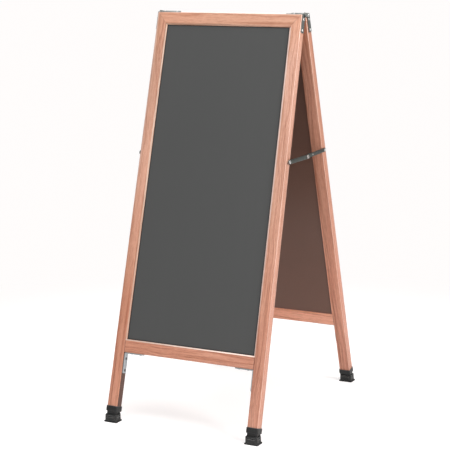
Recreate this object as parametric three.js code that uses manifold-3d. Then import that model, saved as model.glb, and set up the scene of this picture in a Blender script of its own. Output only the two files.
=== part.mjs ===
// Double-sided A-frame sidewalk chalkboard: two oak frames hinged together along their top edge.
// Millimetres, +Z up. The origin is on the floor, midway between the feet, under the hinge.
// X runs along the width, left at -X. The front frame's feet stand out towards -Y, the rear
// frame's towards +Y.
import * as THREE from "three";
import { mergeVertices } from "three/addons/utils/BufferGeometryUtils.js";
import Module from "manifold-3d";

const wasm = await Module();
wasm.setup();

// ---------------------------------------------------------------- driving dimensions
// Each frame is described by x, by `down` (down the slope from its top edge) and by `out`
// (outwards from its inner face).
const WIDTH = 457.2; // across one frame
const HALF = WIDTH / 2;
const THICK = 24; // frame stock, inner to outer face
const LEG = 31; // face width of a stile, which is also the leg
const STILE = 34; // the same with the sloped bead that frames the board
const BEAD = STILE - LEG;
const BEAD_DROP = 2.8; // fall of the bead towards the board
const RAIL_TOP = 37; // top rail with its bead, along the slope
const TOP_BEAD = (BEAD * RAIL_TOP) / STILE; // bead of the top rail, so that the mitres meet
const OPEN_END = 922; // lower end of the board opening
const RAIL_END = 957; // underside of the bottom rail
const LEAN = (15.5 * Math.PI) / 180; // each frame from the vertical
const LEAN_COS = Math.cos(LEAN);
const LEAN_SIN = Math.sin(LEAN);
const HINGE_OFFSET = 1.5; // inner face of each frame from the plane through the hinge line
const SLOPE = 1138; // top edge to sole
const TOP_Z = SLOPE * LEAN_COS; // height of the hinge line
const FIT = 0.25; // joint clearance between wooden pieces
const MITRE_FIT = FIT * 1.4; // the mitres' clearance along x
const OVERCUT = 1; // cutters run this far past the wood

const LEG_X = HALF - LEG; // inner side of a leg, from the middle
const BEAD_X = HALF - STILE; // board-side edge of a stile's bead

const BOARD_LIP = 4; // chalkboard face below the frame's outer face
const BACK_LIP = 3; // hardboard back below the frame's inner face
const SHEET = 4; // chalkboard sheet
const GROOVE = 8; // depth of the panel groove
const GROOVE_X = BEAD_X + GROOVE; // bottom of a stile's groove
const GROOVE_PLAY = 0.15; // groove beyond each face of the two sheets together
const GROOVE_OUT = [BACK_LIP - GROOVE_PLAY, THICK - BOARD_LIP + GROOVE_PLAY];
const EDGE_PLAY = 0.5; // sheet or tenon edge short of the groove's end
const TENON_SLOT_END = RAIL_END - 5; // lower end of the stile's groove

const STEEL = 2; // strap and link plate
const GAP = 0.3; // air between stacked plates
const PLATE_FACE = GAP + STEEL; // outer face of a plate next to the wood
const OVERLAP_FACE = 2 * PLATE_FACE; // outer face of a plate stacked over another
const STRAP_OUT = [5, 21]; // width of a hinge strap
const STRAP_DOWN = 51; // side arm
const STRAP_IN = 51.5; // top arm
const STRAP_SCREWS_DOWN = [13, 43.5]; // screws of the side arm
const STRAP_TOP_SCREW_IN = 41; // screw of the top arm, from the side face
const PIVOT_Y = 10.5; // fold pivot
const PIVOT_Z = TOP_Z + 2.9;
const PIVOT_RADIUS = 2.5;
const EAR_RADIUS = 6;

const BRACE_FRONT = [-121.0, 707.3]; // front end of the folding brace (y, z)
const BRACE_KNEE = [-3.0, 706.9];
const BRACE_REAR = [122.6, 710.3];
const FRONT_LINK_WIDTH = 12;
const REAR_LINK_WIDTH = 11;
const LINK_IN = 3.6; // front link's inner face from the stile
const LINK_FACE = LINK_IN + STEEL; // and its outer face
const LINK_NOSE = 8; // front link beyond its screw
const LINK_TAIL = 15; // front link beyond the knee
const STOP_ALONG = 41.6; // small rivet of the rear link, from the knee

const IRON = 56; // corner iron arm
const IRON_THICK = 3;
const IRON_OUT = [5.5, 21.5]; // width of a corner iron
const IRON_RAIL_SCREW = 47; // screw into the bottom rail, from the leg
const IRON_LEG_SCREW = 17; // screw into the leg, from the bottom rail

const FOOT_TOP = 1101; // upper edge of a foot's collar, down the slope
const LEG_END = 1113;
const COLLAR_END = 1115.5;
const POCKET_FIT = 0.3; // collar pocket from the sides of the leg
const NECK_TOP = LEG_END + 0.4; // bottom of the pocket
const BASE_HEIGHT = 21; // upright base of a foot
const NECK_INTO_BASE = 5; // neck's axis below the top of the base
const FLANGE_HEIGHT = 3;
// Half sizes along x and through the leg, and corner radius.
const COLLAR = [17.4, 13.9, 3];
const NECK = [15, 11.4, 3];
// Blocks of the base: half x, half y, corner radius, lower z, upper z.
const BASE_BLOCKS = [
  [17.6, 13.2, 3.5, FLANGE_HEIGHT - 1, BASE_HEIGHT - 1.6],
  [16.4, 12.0, 3.5, BASE_HEIGHT - 3, BASE_HEIGHT],
  [20.2, 15.6, 3, 0, FLANGE_HEIGHT],
];

const HANDS = Object.entries({ left: -1, right: 1 }); // name and sign of x
const CURVE_SEGMENTS = 3; // per quarter-circle corner of an outline
const BAR_END_STEPS = 8; // per half-circle end of a bar
// Segments around turned pieces and their holes.
const SEGMENTS = {
  woodScrew: 10,
  ironScrew: 12,
  bracePin: 12,
  kneePin: 16,
  spacer: 18,
  pivot: 20,
  ear: 24,
};

// ---------------------------------------------------------------- materials
const standard = (settings) => new THREE.MeshStandardMaterial(settings);
const OAK = standard({ color: 0xcf9478, roughness: 0.5, metalness: 0 });
const SLATE = standard({ color: 0x4d4f4f, roughness: 0.8, metalness: 0 });
const HARDBOARD = standard({ color: 0x4c362d, roughness: 0.4, metalness: 0 });
const RUBBER = standard({ color: 0x1d1d1e, roughness: 0.75, metalness: 0 });
const STRAP = standard({ color: 0x6b7068, roughness: 0.4, metalness: 1 });
const ZINC = standard({ color: 0xb4bcbe, roughness: 0.35, metalness: 1 });
const SCREW = standard({ color: 0xb9bcb8, roughness: 0.3, metalness: 1 });

// ---------------------------------------------------------------- solids and meshes
// Moves every vertex by `place`, merges the shared ones and turns the faces outwards.
function solid(geometry, place) {
  const loose = geometry.index ? geometry.toNonIndexed() : geometry.clone();
  for (const key of Object.keys(loose.attributes)) {
    if (key !== "position") loose.deleteAttribute(key);
  }
  const position = loose.attributes.position;
  for (let i = 0; i < position.count; i++) {
    position.setXYZ(i, ...place(position.getX(i), position.getY(i), position.getZ(i)));
  }
  const merged = mergeVertices(loose, 1e-4);
  const vertices = merged.attributes.position.array;
  const index = merged.index.array;
  const corner = (i) => new THREE.Vector3().fromArray(vertices, 3 * i);
  const triangles = [];
  let volume = 0;
  for (let i = 0; i < index.length; i += 3) {
    const [first, second, third] = index.slice(i, i + 3);
    // merging collapses the triangles at the poles of a turned piece
    if (first === second || second === third || first === third) continue;
    triangles.push(first, second, third);
    volume += corner(first).dot(corner(second).cross(corner(third)));
  }
  if (volume < 0) {
    for (let i = 0; i < triangles.length; i += 3) {
      [triangles[i + 1], triangles[i + 2]] = [triangles[i + 2], triangles[i + 1]];
    }
  }
  return new wasm.Manifold(
    new wasm.Mesh({
      numProp: 3,
      vertProperties: new Float32Array(vertices),
      triVerts: new Uint32Array(triangles),
    }),
  );
}

function addMesh(parent, name, made, material) {
  const data = made.getMesh();
  const geometry = new THREE.BufferGeometry();
  geometry.setAttribute(
    "position",
    new THREE.BufferAttribute(new Float32Array(data.vertProperties), 3),
  );
  geometry.setIndex(new THREE.BufferAttribute(new Uint32Array(data.triVerts), 1));
  geometry.computeVertexNormals();
  const mesh = new THREE.Mesh(geometry, material.clone());
  mesh.name = name;
  parent.add(mesh);
}

// ---------------------------------------------------------------- outlines
const middle = ([low, high]) => (low + high) / 2;

const outline = (points) => new THREE.Shape(points.map(([x, y]) => new THREE.Vector2(x, y)));

function roundedRect([x0, x1], [y0, y1], radius) {
  const shape = new THREE.Shape();
  shape.moveTo(x0 + radius, y0);
  shape.lineTo(x1 - radius, y0);
  shape.absarc(x1 - radius, y0 + radius, radius, -Math.PI / 2, 0, false);
  shape.lineTo(x1, y1 - radius);
  shape.absarc(x1 - radius, y1 - radius, radius, 0, Math.PI / 2, false);
  shape.lineTo(x0 + radius, y1);
  shape.absarc(x0 + radius, y1 - radius, radius, Math.PI / 2, Math.PI, false);
  shape.lineTo(x0, y0 + radius);
  shape.absarc(x0 + radius, y0 + radius, radius, Math.PI, Math.PI * 1.5, false);
  return shape;
}

const distance = (from, to) => Math.hypot(to[0] - from[0], to[1] - from[1]);

// Gives points by their distance along and across the line from -> to, measured from `origin`.
function lineAxes(from, to, origin = from) {
  const length = distance(from, to);
  const alongX = (to[0] - from[0]) / length;
  const alongY = (to[1] - from[1]) / length;
  return (along, across) => [
    origin[0] + alongX * along - alongY * across,
    origin[1] + alongY * along + alongX * across,
  ];
}

// A bar with round ends, reaching its own distance past each of its two points.
function bar(from, to, radius, pastFrom, pastTo) {
  const at = lineAxes(from, to);
  const points = [];
  for (const [centre, start] of [
    [distance(from, to) + pastTo - radius, -Math.PI / 2],
    [radius - pastFrom, Math.PI / 2],
  ]) {
    for (let i = 0; i <= BAR_END_STEPS; i++) {
      const angle = start + (Math.PI * i) / BAR_END_STEPS;
      points.push(at(centre + radius * Math.cos(angle), radius * Math.sin(angle)));
    }
  }
  return outline(points);
}

const extruded = (shape) =>
  new THREE.ExtrudeGeometry(shape, {
    depth: 1,
    bevelEnabled: false,
    curveSegments: CURVE_SEGMENTS,
  });

// The waste over the bead's slope: [distance past the leg's edge towards the board, out].
const BEAD_WASTE = [
  [0, THICK],
  [BEAD, THICK - BEAD_DROP],
  [BEAD + OVERCUT, THICK - BEAD_DROP],
  [BEAD + OVERCUT, THICK + OVERCUT],
  [0, THICK + OVERCUT],
];

// ---------------------------------------------------------------- turned profiles
// Lists of [radius, height] from the top of the axis to its foot.
const turned = (profile, segments) =>
  new THREE.LatheGeometry(
    profile.map(([radius, height]) => new THREE.Vector2(radius, height)),
    segments,
  );

const rod = (radius, bottom, top) => [
  [0, top],
  [radius, top],
  [radius, bottom],
  [0, bottom],
];

// Heads, with heights from their seat; the last point is the outer edge of the underside.
const HEADS = {
  pan: [[0, 2.2], [2.5, 1.8], [3.8, 0.5], [3.8, 0]],
  lowOval: [[0, 0.9], [2.2, 0.75], [3.7, 0.2], [3.7, 0]],
  braceFront: [[0, 2.6], [3.2, 2.1], [4.8, 0.8], [4.8, 0.15]],
  braceRear: [[0, 2.4], [2.6, 1.9], [4.1, 0.6], [4.1, 0.1]],
  fold: [[0, 2.4], [2.6, 1.9], [4.4, 0.6], [4.4, 0.1]],
  knee: [[0, 3.0], [3.2, 2.5], [5.4, 0.9], [5.4, 0.15]],
  stop: [[0, 1.1], [1.8, 0.9], [2.6, 0.3], [2.6, 0.08]],
};

// A head on its seat, and a shank that ends in the points of `tail`.
function headed(head, seat, shank, tail) {
  const raised = head.map(([radius, height]) => [radius, seat + height]);
  const underside = raised.at(-1)[1];
  return [...raised, [shank, underside], ...tail];
}

// A pin with a blunt end.
const rivet = (head, seat, shank, end) =>
  headed(head, seat, shank, [
    [shank, end],
    [0, end],
  ]);

const SHANK = 1.9;
const SHANK_HOLE = 2.15;
const POINT = 3; // length of a wood screw's point
const HOLE_DEPTH = 15;
const HEAD_PLAY = 0.1; // wood screw's head above its plate

const woodScrew = (head, length) =>
  headed(head, 0, SHANK, [
    [SHANK, -length + POINT],
    [0, -length],
  ]);
const HINGE_SCREW = woodScrew(HEADS.pan, 16);
const IRON_SCREW = woodScrew(HEADS.lowOval, 17);
const HINGE_HOLE = rod(SHANK_HOLE, -HOLE_DEPTH, 3);
const IRON_HOLE = rod(SHANK_HOLE, -HOLE_DEPTH, 5);

const BRACE_SCREW_HOLE = 2.6;
const BRACE_SCREW = headed(HEADS.braceFront, LINK_FACE, 2.3, [
  [2.3, -15],
  [0, -18.5],
]);
const FOLD_RIVET = rivet(HEADS.fold, OVERLAP_FACE, PIVOT_RADIUS, GAP + 0.1);
const STOP_RIVET = rivet(HEADS.stop, PLATE_FACE, 1.5, GAP);
const BRACE_REAR_PIN = rivet(HEADS.braceRear, PLATE_FACE, 2.1, GAP);
// fast in the front link, with a collar between the links
const KNEE_RIVET = headed(HEADS.knee, LINK_FACE, 2.6, [
  [2.6, LINK_IN - 0.1],
  [4.2, LINK_IN - 0.1],
  [4.2, PLATE_FACE + 0.15],
  [2.6, PLATE_FACE + 0.15],
  [2.6, GAP],
  [0, GAP],
]);

// ---------------------------------------------------------------- working in a frame
const root = new THREE.Group();

// x of a point a distance outside the side face
const outside = (hand, gap) => hand * (HALF + gap);

// The group of one frame and the builders of solids in it. facing: -1 front, +1 rear.
function makeFrame(facing, prefix) {
  const group = new THREE.Group();
  group.position.set(0, 0, TOP_Z);
  group.rotation.x = facing * LEAN;
  root.add(group);

  const local = (x, down, out) => [x, facing * (HINGE_OFFSET + out), -down];
  // from (y, z) in the standing object
  const toSlope = (y, z) => ({
    down: facing * y * LEAN_SIN - (z - TOP_Z) * LEAN_COS,
    out: facing * y * LEAN_COS + (z - TOP_Z) * LEAN_SIN - HINGE_OFFSET,
  });
  return {
    facing,
    prefix,
    group,
    toSlope,
    // the ends along x may come in either order
    block([xa, xb], [down0, down1], [out0, out1]) {
      const x0 = Math.min(xa, xb);
      const x1 = Math.max(xa, xb);
      return solid(new THREE.BoxGeometry(1, 1, 1), (x, y, z) =>
        local(
          x0 + (x + 0.5) * (x1 - x0),
          down0 + (y + 0.5) * (down1 - down0),
          out0 + (z + 0.5) * (out1 - out0),
        ),
      );
    },
    // outline in (out, down), pushed along x
    plateAlongX: (shape, x0, x1) =>
      solid(extruded(shape), (out, down, z) => local(x0 + z * (x1 - x0), down, out)),
    // outline in (x, down), as thick as the frame stock
    board: (shape) => solid(extruded(shape), (x, down, z) => local(x, down, z * THICK)),
    // outline in (x, out), pushed down the slope
    plateDown: (shape, down0, down1) =>
      solid(extruded(shape), (x, out, z) => local(x, down0 + z * (down1 - down0), out)),
    // outline in the standing object's (x, y), pushed upright
    upright: (shape, z0, z1) =>
      solid(extruded(shape), (x, y, z) => {
        const { down, out } = toSlope(y, z0 + z * (z1 - z0));
        return local(x, down, out);
      }),
    // turned piece with its top towards sign * x
    turnedX: (profile, segments, x, down, out, sign) =>
      solid(turned(profile, segments), (across, height, depth) =>
        local(x + sign * height, down + across, out + depth),
      ),
    // turned piece with its top down the slope (sign 1) or up it (sign -1)
    turnedDown: (profile, segments, x, down, out, sign) =>
      solid(turned(profile, segments), (across, height, depth) =>
        local(x + across, down + sign * height, out + depth),
      ),
  };
}

// ---------------------------------------------------------------- wooden pieces and panel
// Mitred at the top, grooved for the panel and for the bottom rail's tenon.
function makeStile(frame, hand) {
  const groove = frame.block(
    [hand * GROOVE_X, hand * (BEAD_X - OVERCUT)],
    [RAIL_TOP - GROOVE, TENON_SLOT_END],
    GROOVE_OUT,
  );
  const beadWaste = frame.plateDown(
    outline(BEAD_WASTE.map(([past, out]) => [hand * (LEG_X - past), out])),
    0,
    OPEN_END + BEAD + OVERCUT,
  );
  return frame
    .board(
      outline([
        [hand * HALF, 0],
        [hand * BEAD_X, RAIL_TOP],
        [hand * BEAD_X, OPEN_END],
        [hand * LEG_X, OPEN_END + BEAD],
        [hand * LEG_X, LEG_END],
        [hand * HALF, LEG_END],
      ]),
    )
    .subtract(groove)
    .subtract(beadWaste);
}

// The bead's waste along a rail, with downOf(past) placing its points.
const railBeadWaste = (frame, downOf) =>
  frame.plateAlongX(outline(BEAD_WASTE.map(([past, out]) => [out, downOf(past)])), -HALF, HALF);

// Mitred at both ends, grooved below.
function makeTopRail(frame) {
  return frame
    .board(
      outline([
        [-HALF + MITRE_FIT, 0],
        [HALF - MITRE_FIT, 0],
        [BEAD_X - MITRE_FIT, RAIL_TOP],
        [-BEAD_X + MITRE_FIT, RAIL_TOP],
      ]),
    )
    .subtract(
      frame.block([-GROOVE_X, GROOVE_X], [RAIL_TOP - GROOVE, RAIL_TOP + OVERCUT], GROOVE_OUT),
    )
    .subtract(railBeadWaste(frame, (past) => RAIL_TOP - TOP_BEAD + (past * TOP_BEAD) / BEAD));
}

// Butts between the legs, its bead mitred to theirs, with a stub tenon at each end.
function makeBottomRail(frame) {
  const end = LEG_X - FIT;
  const beadEnd = BEAD_X - MITRE_FIT;
  const beadFoot = OPEN_END + BEAD + 0.1;
  const tenonEnd = GROOVE_X - EDGE_PLAY;
  const tenons = frame.block(
    [-tenonEnd, tenonEnd],
    [OPEN_END + GROOVE + 1, TENON_SLOT_END - EDGE_PLAY],
    [GROOVE_OUT[0] + FIT, GROOVE_OUT[1] - FIT],
  );
  const groove = frame.block(
    [-end - OVERCUT, end + OVERCUT],
    [OPEN_END - OVERCUT, OPEN_END + GROOVE],
    GROOVE_OUT,
  );
  return frame
    .board(
      outline([
        [-end, RAIL_END],
        [-end, beadFoot],
        [-beadEnd, OPEN_END],
        [beadEnd, OPEN_END],
        [end, beadFoot],
        [end, RAIL_END],
      ]),
    )
    .add(tenons)
    .subtract(groove)
    .subtract(railBeadWaste(frame, (past) => OPEN_END + BEAD - past));
}

// Chalkboard sheet and hardboard back, both held in the groove.
function addSheets({ block, group, prefix }) {
  const edge = GROOVE_X - EDGE_PLAY;
  const length = [RAIL_TOP - GROOVE + EDGE_PLAY, OPEN_END + GROOVE - EDGE_PLAY];
  const face = THICK - BOARD_LIP;
  const chalkboard = block([-edge, edge], length, [face - SHEET, face]);
  const backing = block([-edge, edge], length, [BACK_LIP, face - SHEET - FIT]);
  addMesh(group, `${prefix}_chalkboard`, chalkboard, SLATE);
  addMesh(group, `${prefix}_backing_board`, backing, HARDBOARD);
}

function drill(wood, piece, hole) {
  wood[piece] = wood[piece].subtract(hole);
}

// ---------------------------------------------------------------- hinge
// The front strap's ear steps out over the rear one and reaches back to the pivot.
function steppedEar(frame, hand, pivot) {
  const strapMiddle = middle(STRAP_OUT);
  // [distance outside the side face, out]
  const step = [
    [GAP, strapMiddle],
    [GAP, 1.5],
    [GAP + PLATE_FACE, -2.5],
    [GAP + PLATE_FACE, -20],
    [OVERLAP_FACE, -20],
    [OVERLAP_FACE, -1.6],
    [PLATE_FACE, 2.4],
    [PLATE_FACE, strapMiddle],
  ];
  const shape = outline(step.map(([gap, out]) => [outside(hand, gap), out]));
  const silhouette = bar(
    [strapMiddle, -1.5],
    [pivot.out, pivot.down],
    EAR_RADIUS,
    EAR_RADIUS,
    EAR_RADIUS,
  );
  return frame
    .plateDown(shape, -16, 14)
    .intersect(frame.plateAlongX(silhouette, outside(hand, -1), outside(hand, 6)));
}

// An angle over the top corner, with the ear that carries the fold pivot.
function makeStrap(frame, hand, pivot) {
  const atPivot = (profile, segments) =>
    frame.turnedX(profile, segments, hand * HALF, pivot.down, pivot.out, hand);
  const sideArm = frame.plateAlongX(
    roundedRect(STRAP_OUT, [-PLATE_FACE, STRAP_DOWN], 3),
    outside(hand, GAP),
    outside(hand, PLATE_FACE),
  );
  const topArm = frame.block(
    [outside(hand, -STRAP_IN), outside(hand, PLATE_FACE)],
    [-PLATE_FACE, -GAP],
    STRAP_OUT,
  );
  const isFront = frame.facing < 0;
  const ear = isFront
    ? steppedEar(frame, hand, pivot)
    : atPivot(rod(EAR_RADIUS, GAP, PLATE_FACE), SEGMENTS.ear);
  const holeRadius = PIVOT_RADIUS + (isFront ? 0.1 : 0.2);
  return sideArm
    .add(topArm)
    .add(ear)
    .subtract(atPivot(rod(holeRadius, -1, 7), SEGMENTS.pivot));
}

function addHinge(frame, wood, handName, hand, pivot) {
  const { group, prefix, turnedX, turnedDown } = frame;
  const strapMiddle = middle(STRAP_OUT);
  const seat = PLATE_FACE + HEAD_PLAY;
  const segments = SEGMENTS.woodScrew;
  const screwName = `${prefix}_hinge_screw_${handName}`;
  let strap = makeStrap(frame, hand, pivot);

  STRAP_SCREWS_DOWN.forEach((down, i) => {
    const hole = turnedX(HINGE_HOLE, segments, hand * HALF, down, strapMiddle, hand);
    strap = strap.subtract(hole);
    drill(wood, `stile_${handName}`, hole);
    drill(wood, "top_rail", hole);
    const screw = turnedX(
      HINGE_SCREW, segments, outside(hand, seat), down, strapMiddle, hand,
    );
    addMesh(group, `${screwName}_${i + 1}`, screw, SCREW);
  });

  const topX = outside(hand, -STRAP_TOP_SCREW_IN);
  const topHole = turnedDown(HINGE_HOLE, segments, topX, 0, strapMiddle, -1);
  strap = strap.subtract(topHole);
  drill(wood, "top_rail", topHole);
  const topScrew = turnedDown(HINGE_SCREW, segments, topX, -seat, strapMiddle, -1);
  addMesh(group, `${screwName}_3`, topScrew, SCREW);
  addMesh(group, `${prefix}_hinge_strap_${handName}`, strap, STRAP);
}

// ---------------------------------------------------------------- corner iron
// Sits in the inside corner below the bottom rail.
function addCornerIron(frame, wood, handName, hand) {
  const { group, prefix, block, turnedX, turnedDown } = frame;
  const fromLeg = (gap) => hand * (LEG_X - gap);
  const ironMiddle = middle(IRON_OUT);
  const face = GAP + IRON_THICK;
  const seat = face + HEAD_PLAY;
  const railX = fromLeg(IRON_RAIL_SCREW);
  const legDown = RAIL_END + IRON_LEG_SCREW;
  const holeSegments = SEGMENTS.woodScrew;
  const railHole = turnedDown(IRON_HOLE, holeSegments, railX, RAIL_END, ironMiddle, 1);
  const legHole = turnedX(IRON_HOLE, holeSegments, fromLeg(0), legDown, ironMiddle, -hand);

  const iron = block(
    [fromLeg(GAP), fromLeg(IRON)],
    [RAIL_END + GAP, RAIL_END + face],
    IRON_OUT,
  )
    .add(block([fromLeg(GAP), fromLeg(face)], [RAIL_END + GAP, RAIL_END + IRON], IRON_OUT))
    .subtract(railHole)
    .subtract(legHole);
  drill(wood, "bottom_rail", railHole);
  drill(wood, `stile_${handName}`, legHole);

  const segments = SEGMENTS.ironScrew;
  const railScrew = turnedDown(IRON_SCREW, segments, railX, RAIL_END + seat, ironMiddle, 1);
  const legScrew = turnedX(IRON_SCREW, segments, fromLeg(seat), legDown, ironMiddle, -hand);
  addMesh(group, `${prefix}_corner_iron_${handName}`, iron, ZINC);
  addMesh(group, `${prefix}_iron_screw_${handName}_1`, railScrew, SCREW);
  addMesh(group, `${prefix}_iron_screw_${handName}_2`, legScrew, SCREW);
}

// ---------------------------------------------------------------- rubber foot
// A collar square with the leg, a narrow neck and an upright base with a thin sole flange,
// flat on the floor.
function makeFoot({ facing, block, plateDown, upright }, hand) {
  const centreX = hand * (HALF - LEG / 2);
  const centreOut = THICK / 2;
  const axisOffset = HINGE_OFFSET + centreOut;
  const rectAt = (centreY, halfX, halfY, radius) =>
    roundedRect(
      [centreX - halfX, centreX + halfX],
      [centreY - halfY, centreY + halfY],
      radius,
    );
  // distance down the leg's axis at height z
  const axisDown = (z) => (TOP_Z + LEAN_SIN * axisOffset - z) / LEAN_COS;
  // the base is centred where the axis passes its mid-height
  const baseY = facing * (LEAN_SIN * axisDown(BASE_HEIGHT / 2) + LEAN_COS * axisOffset);
  const pocket = block(
    [outside(hand, POCKET_FIT), hand * (LEG_X - POCKET_FIT)],
    [FOOT_TOP - 5, NECK_TOP],
    [-POCKET_FIT, THICK + POCKET_FIT],
  );
  const neckEnd = axisDown(BASE_HEIGHT - NECK_INTO_BASE);
  let foot = plateDown(rectAt(centreOut, ...COLLAR), FOOT_TOP, COLLAR_END)
    .subtract(pocket)
    .add(plateDown(rectAt(centreOut, ...NECK), NECK_TOP, neckEnd));
  for (const [halfX, halfY, radius, z0, z1] of BASE_BLOCKS) {
    foot = foot.add(upright(rectAt(baseY, halfX, halfY, radius), z0, z1));
  }
  return foot;
}

// ---------------------------------------------------------------- pins of the front frame
// Brace screw into the front stile, with the spacer that carries the link clear of the wood.
function addBraceScrew(frame, wood, handName, hand) {
  const { down, out } = frame.toSlope(...BRACE_FRONT);
  const at = (profile, segments) =>
    frame.turnedX(profile, segments, hand * HALF, down, out, hand);
  const hole = (bottom, top) => at(rod(BRACE_SCREW_HOLE, bottom, top), SEGMENTS.bracePin);
  drill(wood, `stile_${handName}`, hole(-19, 3));
  const spacer = at(rod(5.5, GAP, LINK_IN - GAP), SEGMENTS.spacer).subtract(hole(-1, 5));
  const screw = at(BRACE_SCREW, SEGMENTS.bracePin);
  addMesh(frame.group, `brace_spacer_${handName}`, spacer, SCREW);
  addMesh(frame.group, `brace_front_screw_${handName}`, screw, SCREW);
}

// Fold pivot rivet, fast in the front strap's ear.
function addFoldRivet({ group, turnedX }, handName, hand, { down, out }) {
  const made = turnedX(FOLD_RIVET, SEGMENTS.pivot, hand * HALF, down, out, hand);
  addMesh(group, `fold_rivet_${handName}`, made, SCREW);
}

// ---------------------------------------------------------------- one whole frame
function buildFrame(facing, prefix) {
  const frame = makeFrame(facing, prefix);
  // wooden pieces, drilled by the fittings before they become meshes
  const wood = {
    stile_left: makeStile(frame, -1),
    stile_right: makeStile(frame, 1),
    top_rail: makeTopRail(frame),
    bottom_rail: makeBottomRail(frame),
  };
  addSheets(frame);
  const pivot = frame.toSlope(PIVOT_Y, PIVOT_Z);
  for (const [handName, hand] of HANDS) {
    addHinge(frame, wood, handName, hand, pivot);
    addCornerIron(frame, wood, handName, hand);
    addMesh(frame.group, `${prefix}_foot_${handName}`, makeFoot(frame, hand), RUBBER);
    if (facing < 0) {
      addBraceScrew(frame, wood, handName, hand);
      addFoldRivet(frame, handName, hand, pivot);
    }
  }
  for (const [piece, made] of Object.entries(wood)) {
    addMesh(frame.group, `${prefix}_${piece}`, made, OAK);
  }
}

// ---------------------------------------------------------------- folding brace
// Two flat links beside the stiles, hinged at a knee a little below the straight line.
function addBrace(handName, hand) {
  const { bracePin, kneePin } = SEGMENTS;
  // outline in (y, z), pushed outwards between two distances from the side face
  const plate = (shape, inner, outer) =>
    solid(extruded(shape), (y, z, x) => [outside(hand, inner + x * (outer - inner)), y, z]);
  const pin = (profile, segments, [y, z]) =>
    solid(turned(profile, segments), (across, height, rise) => [
      outside(hand, height),
      y + across,
      z + rise,
    ]);

  // front link, with a stop tab turned in over the rear link's top edge
  const offKnee = lineAxes(BRACE_FRONT, BRACE_KNEE, BRACE_KNEE);
  const tabStart = 9; // from the knee
  const tabLow = REAR_LINK_WIDTH / 2 + 0.45;
  const tab = outline([
    offKnee(tabStart, tabLow + 0.02),
    offKnee(LINK_TAIL, tabLow + 0.25),
    offKnee(LINK_TAIL, tabLow + 2.0),
    offKnee(tabStart, tabLow + 2.0),
  ]);
  const frontLink = plate(
    bar(BRACE_FRONT, BRACE_KNEE, FRONT_LINK_WIDTH / 2, LINK_NOSE, LINK_TAIL),
    LINK_IN,
    LINK_FACE,
  )
    .add(plate(tab, GAP + 0.2, LINK_FACE))
    .subtract(pin(rod(2.5, 0, 8), kneePin, BRACE_FRONT))
    .subtract(pin(rod(2.8, 0, 8), kneePin, BRACE_KNEE));

  // rear link, close to the stile
  const stop = lineAxes(BRACE_KNEE, BRACE_REAR)(STOP_ALONG, 0);
  const rearHalf = REAR_LINK_WIDTH / 2;
  const rearLink = plate(
    bar(BRACE_KNEE, BRACE_REAR, rearHalf, rearHalf + 0.6, rearHalf + 1.4),
    GAP,
    PLATE_FACE,
  )
    .subtract(pin(rod(2.8, -1, 5), kneePin, BRACE_KNEE))
    .subtract(pin(rod(2.3, -1, 5), bracePin, BRACE_REAR))
    .subtract(pin(rod(1.7, -1, 5), bracePin, stop));

  const add = (name, made, material) =>
    addMesh(root, `brace_${name}_${handName}`, made, material);
  add("front_link", frontLink, STRAP);
  add("rear_link", rearLink, STRAP);
  add("knee_rivet", pin(KNEE_RIVET, kneePin, BRACE_KNEE), SCREW);
  add("stop_rivet", pin(STOP_RIVET, bracePin, stop), SCREW);
  // its shank ends at the link's inner face
  add("rear_screw", pin(BRACE_REAR_PIN, bracePin, BRACE_REAR), SCREW);
}

buildFrame(-1, "front");
buildFrame(1, "rear");
for (const [handName, hand] of HANDS) addBrace(handName, hand);

export default root;
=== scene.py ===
"""Looks for the double-sided A-frame sidewalk chalkboard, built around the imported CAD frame."""
import math

import bmesh
import bpy
from mathutils import Matrix, Vector


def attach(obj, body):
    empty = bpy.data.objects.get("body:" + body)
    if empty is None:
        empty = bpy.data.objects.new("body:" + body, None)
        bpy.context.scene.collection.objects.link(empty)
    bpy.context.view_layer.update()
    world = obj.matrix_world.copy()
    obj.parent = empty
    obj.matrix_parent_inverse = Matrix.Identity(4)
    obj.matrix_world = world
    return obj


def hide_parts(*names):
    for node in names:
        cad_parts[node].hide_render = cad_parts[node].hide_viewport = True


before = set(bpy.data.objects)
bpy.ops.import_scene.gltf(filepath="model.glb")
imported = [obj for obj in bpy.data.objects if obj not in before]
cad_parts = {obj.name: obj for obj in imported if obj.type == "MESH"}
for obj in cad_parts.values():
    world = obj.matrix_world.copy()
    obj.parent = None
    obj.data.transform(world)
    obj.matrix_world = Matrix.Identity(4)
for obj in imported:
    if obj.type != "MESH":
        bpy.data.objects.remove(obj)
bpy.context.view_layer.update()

# ------------------------------------------------------------------ sizes shared with the CAD (mm)
WIDTH, THICK, STILE, LEG = 457.2, 24.0, 34.0, 31.0
BEAD, BEAD_DROP = STILE - LEG, 2.8
RAIL_TOP, OPEN_END, RAIL_END = 37.0, 922.0, 957.0
LEAN = math.radians(15.5)
BACK, SLOPE = 1.5, 1138.0
CA, SA = math.cos(LEAN), math.sin(LEAN)
TOP_Z = SLOPE * CA
HALF = WIDTH / 2
BOARD_LIP, BACK_LIP, SHEET, GROOVE = 4.0, 3.0, 4.0, 8.0
STEEL, GAP = 2.0, 0.3
ST0, ST1 = 5.0, 21.0
STRAP_DOWN, STRAP_IN = 51.0, 51.5
PIVOT = (10.5, TOP_Z + 2.9)
B, C, D = (-121.0, 707.3), (-3.0, 706.9), (122.6, 710.3)
LINK_IN = 3.6
LEG_END, FOOT_TOP, COLLAR_END = 1113.0, 1101.0, 1115.5
BASE_H = 21.0
IRON, IRON_THICK = 56.0, 3.0
IRON_T0, IRON_T1 = 5.5, 21.5

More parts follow.
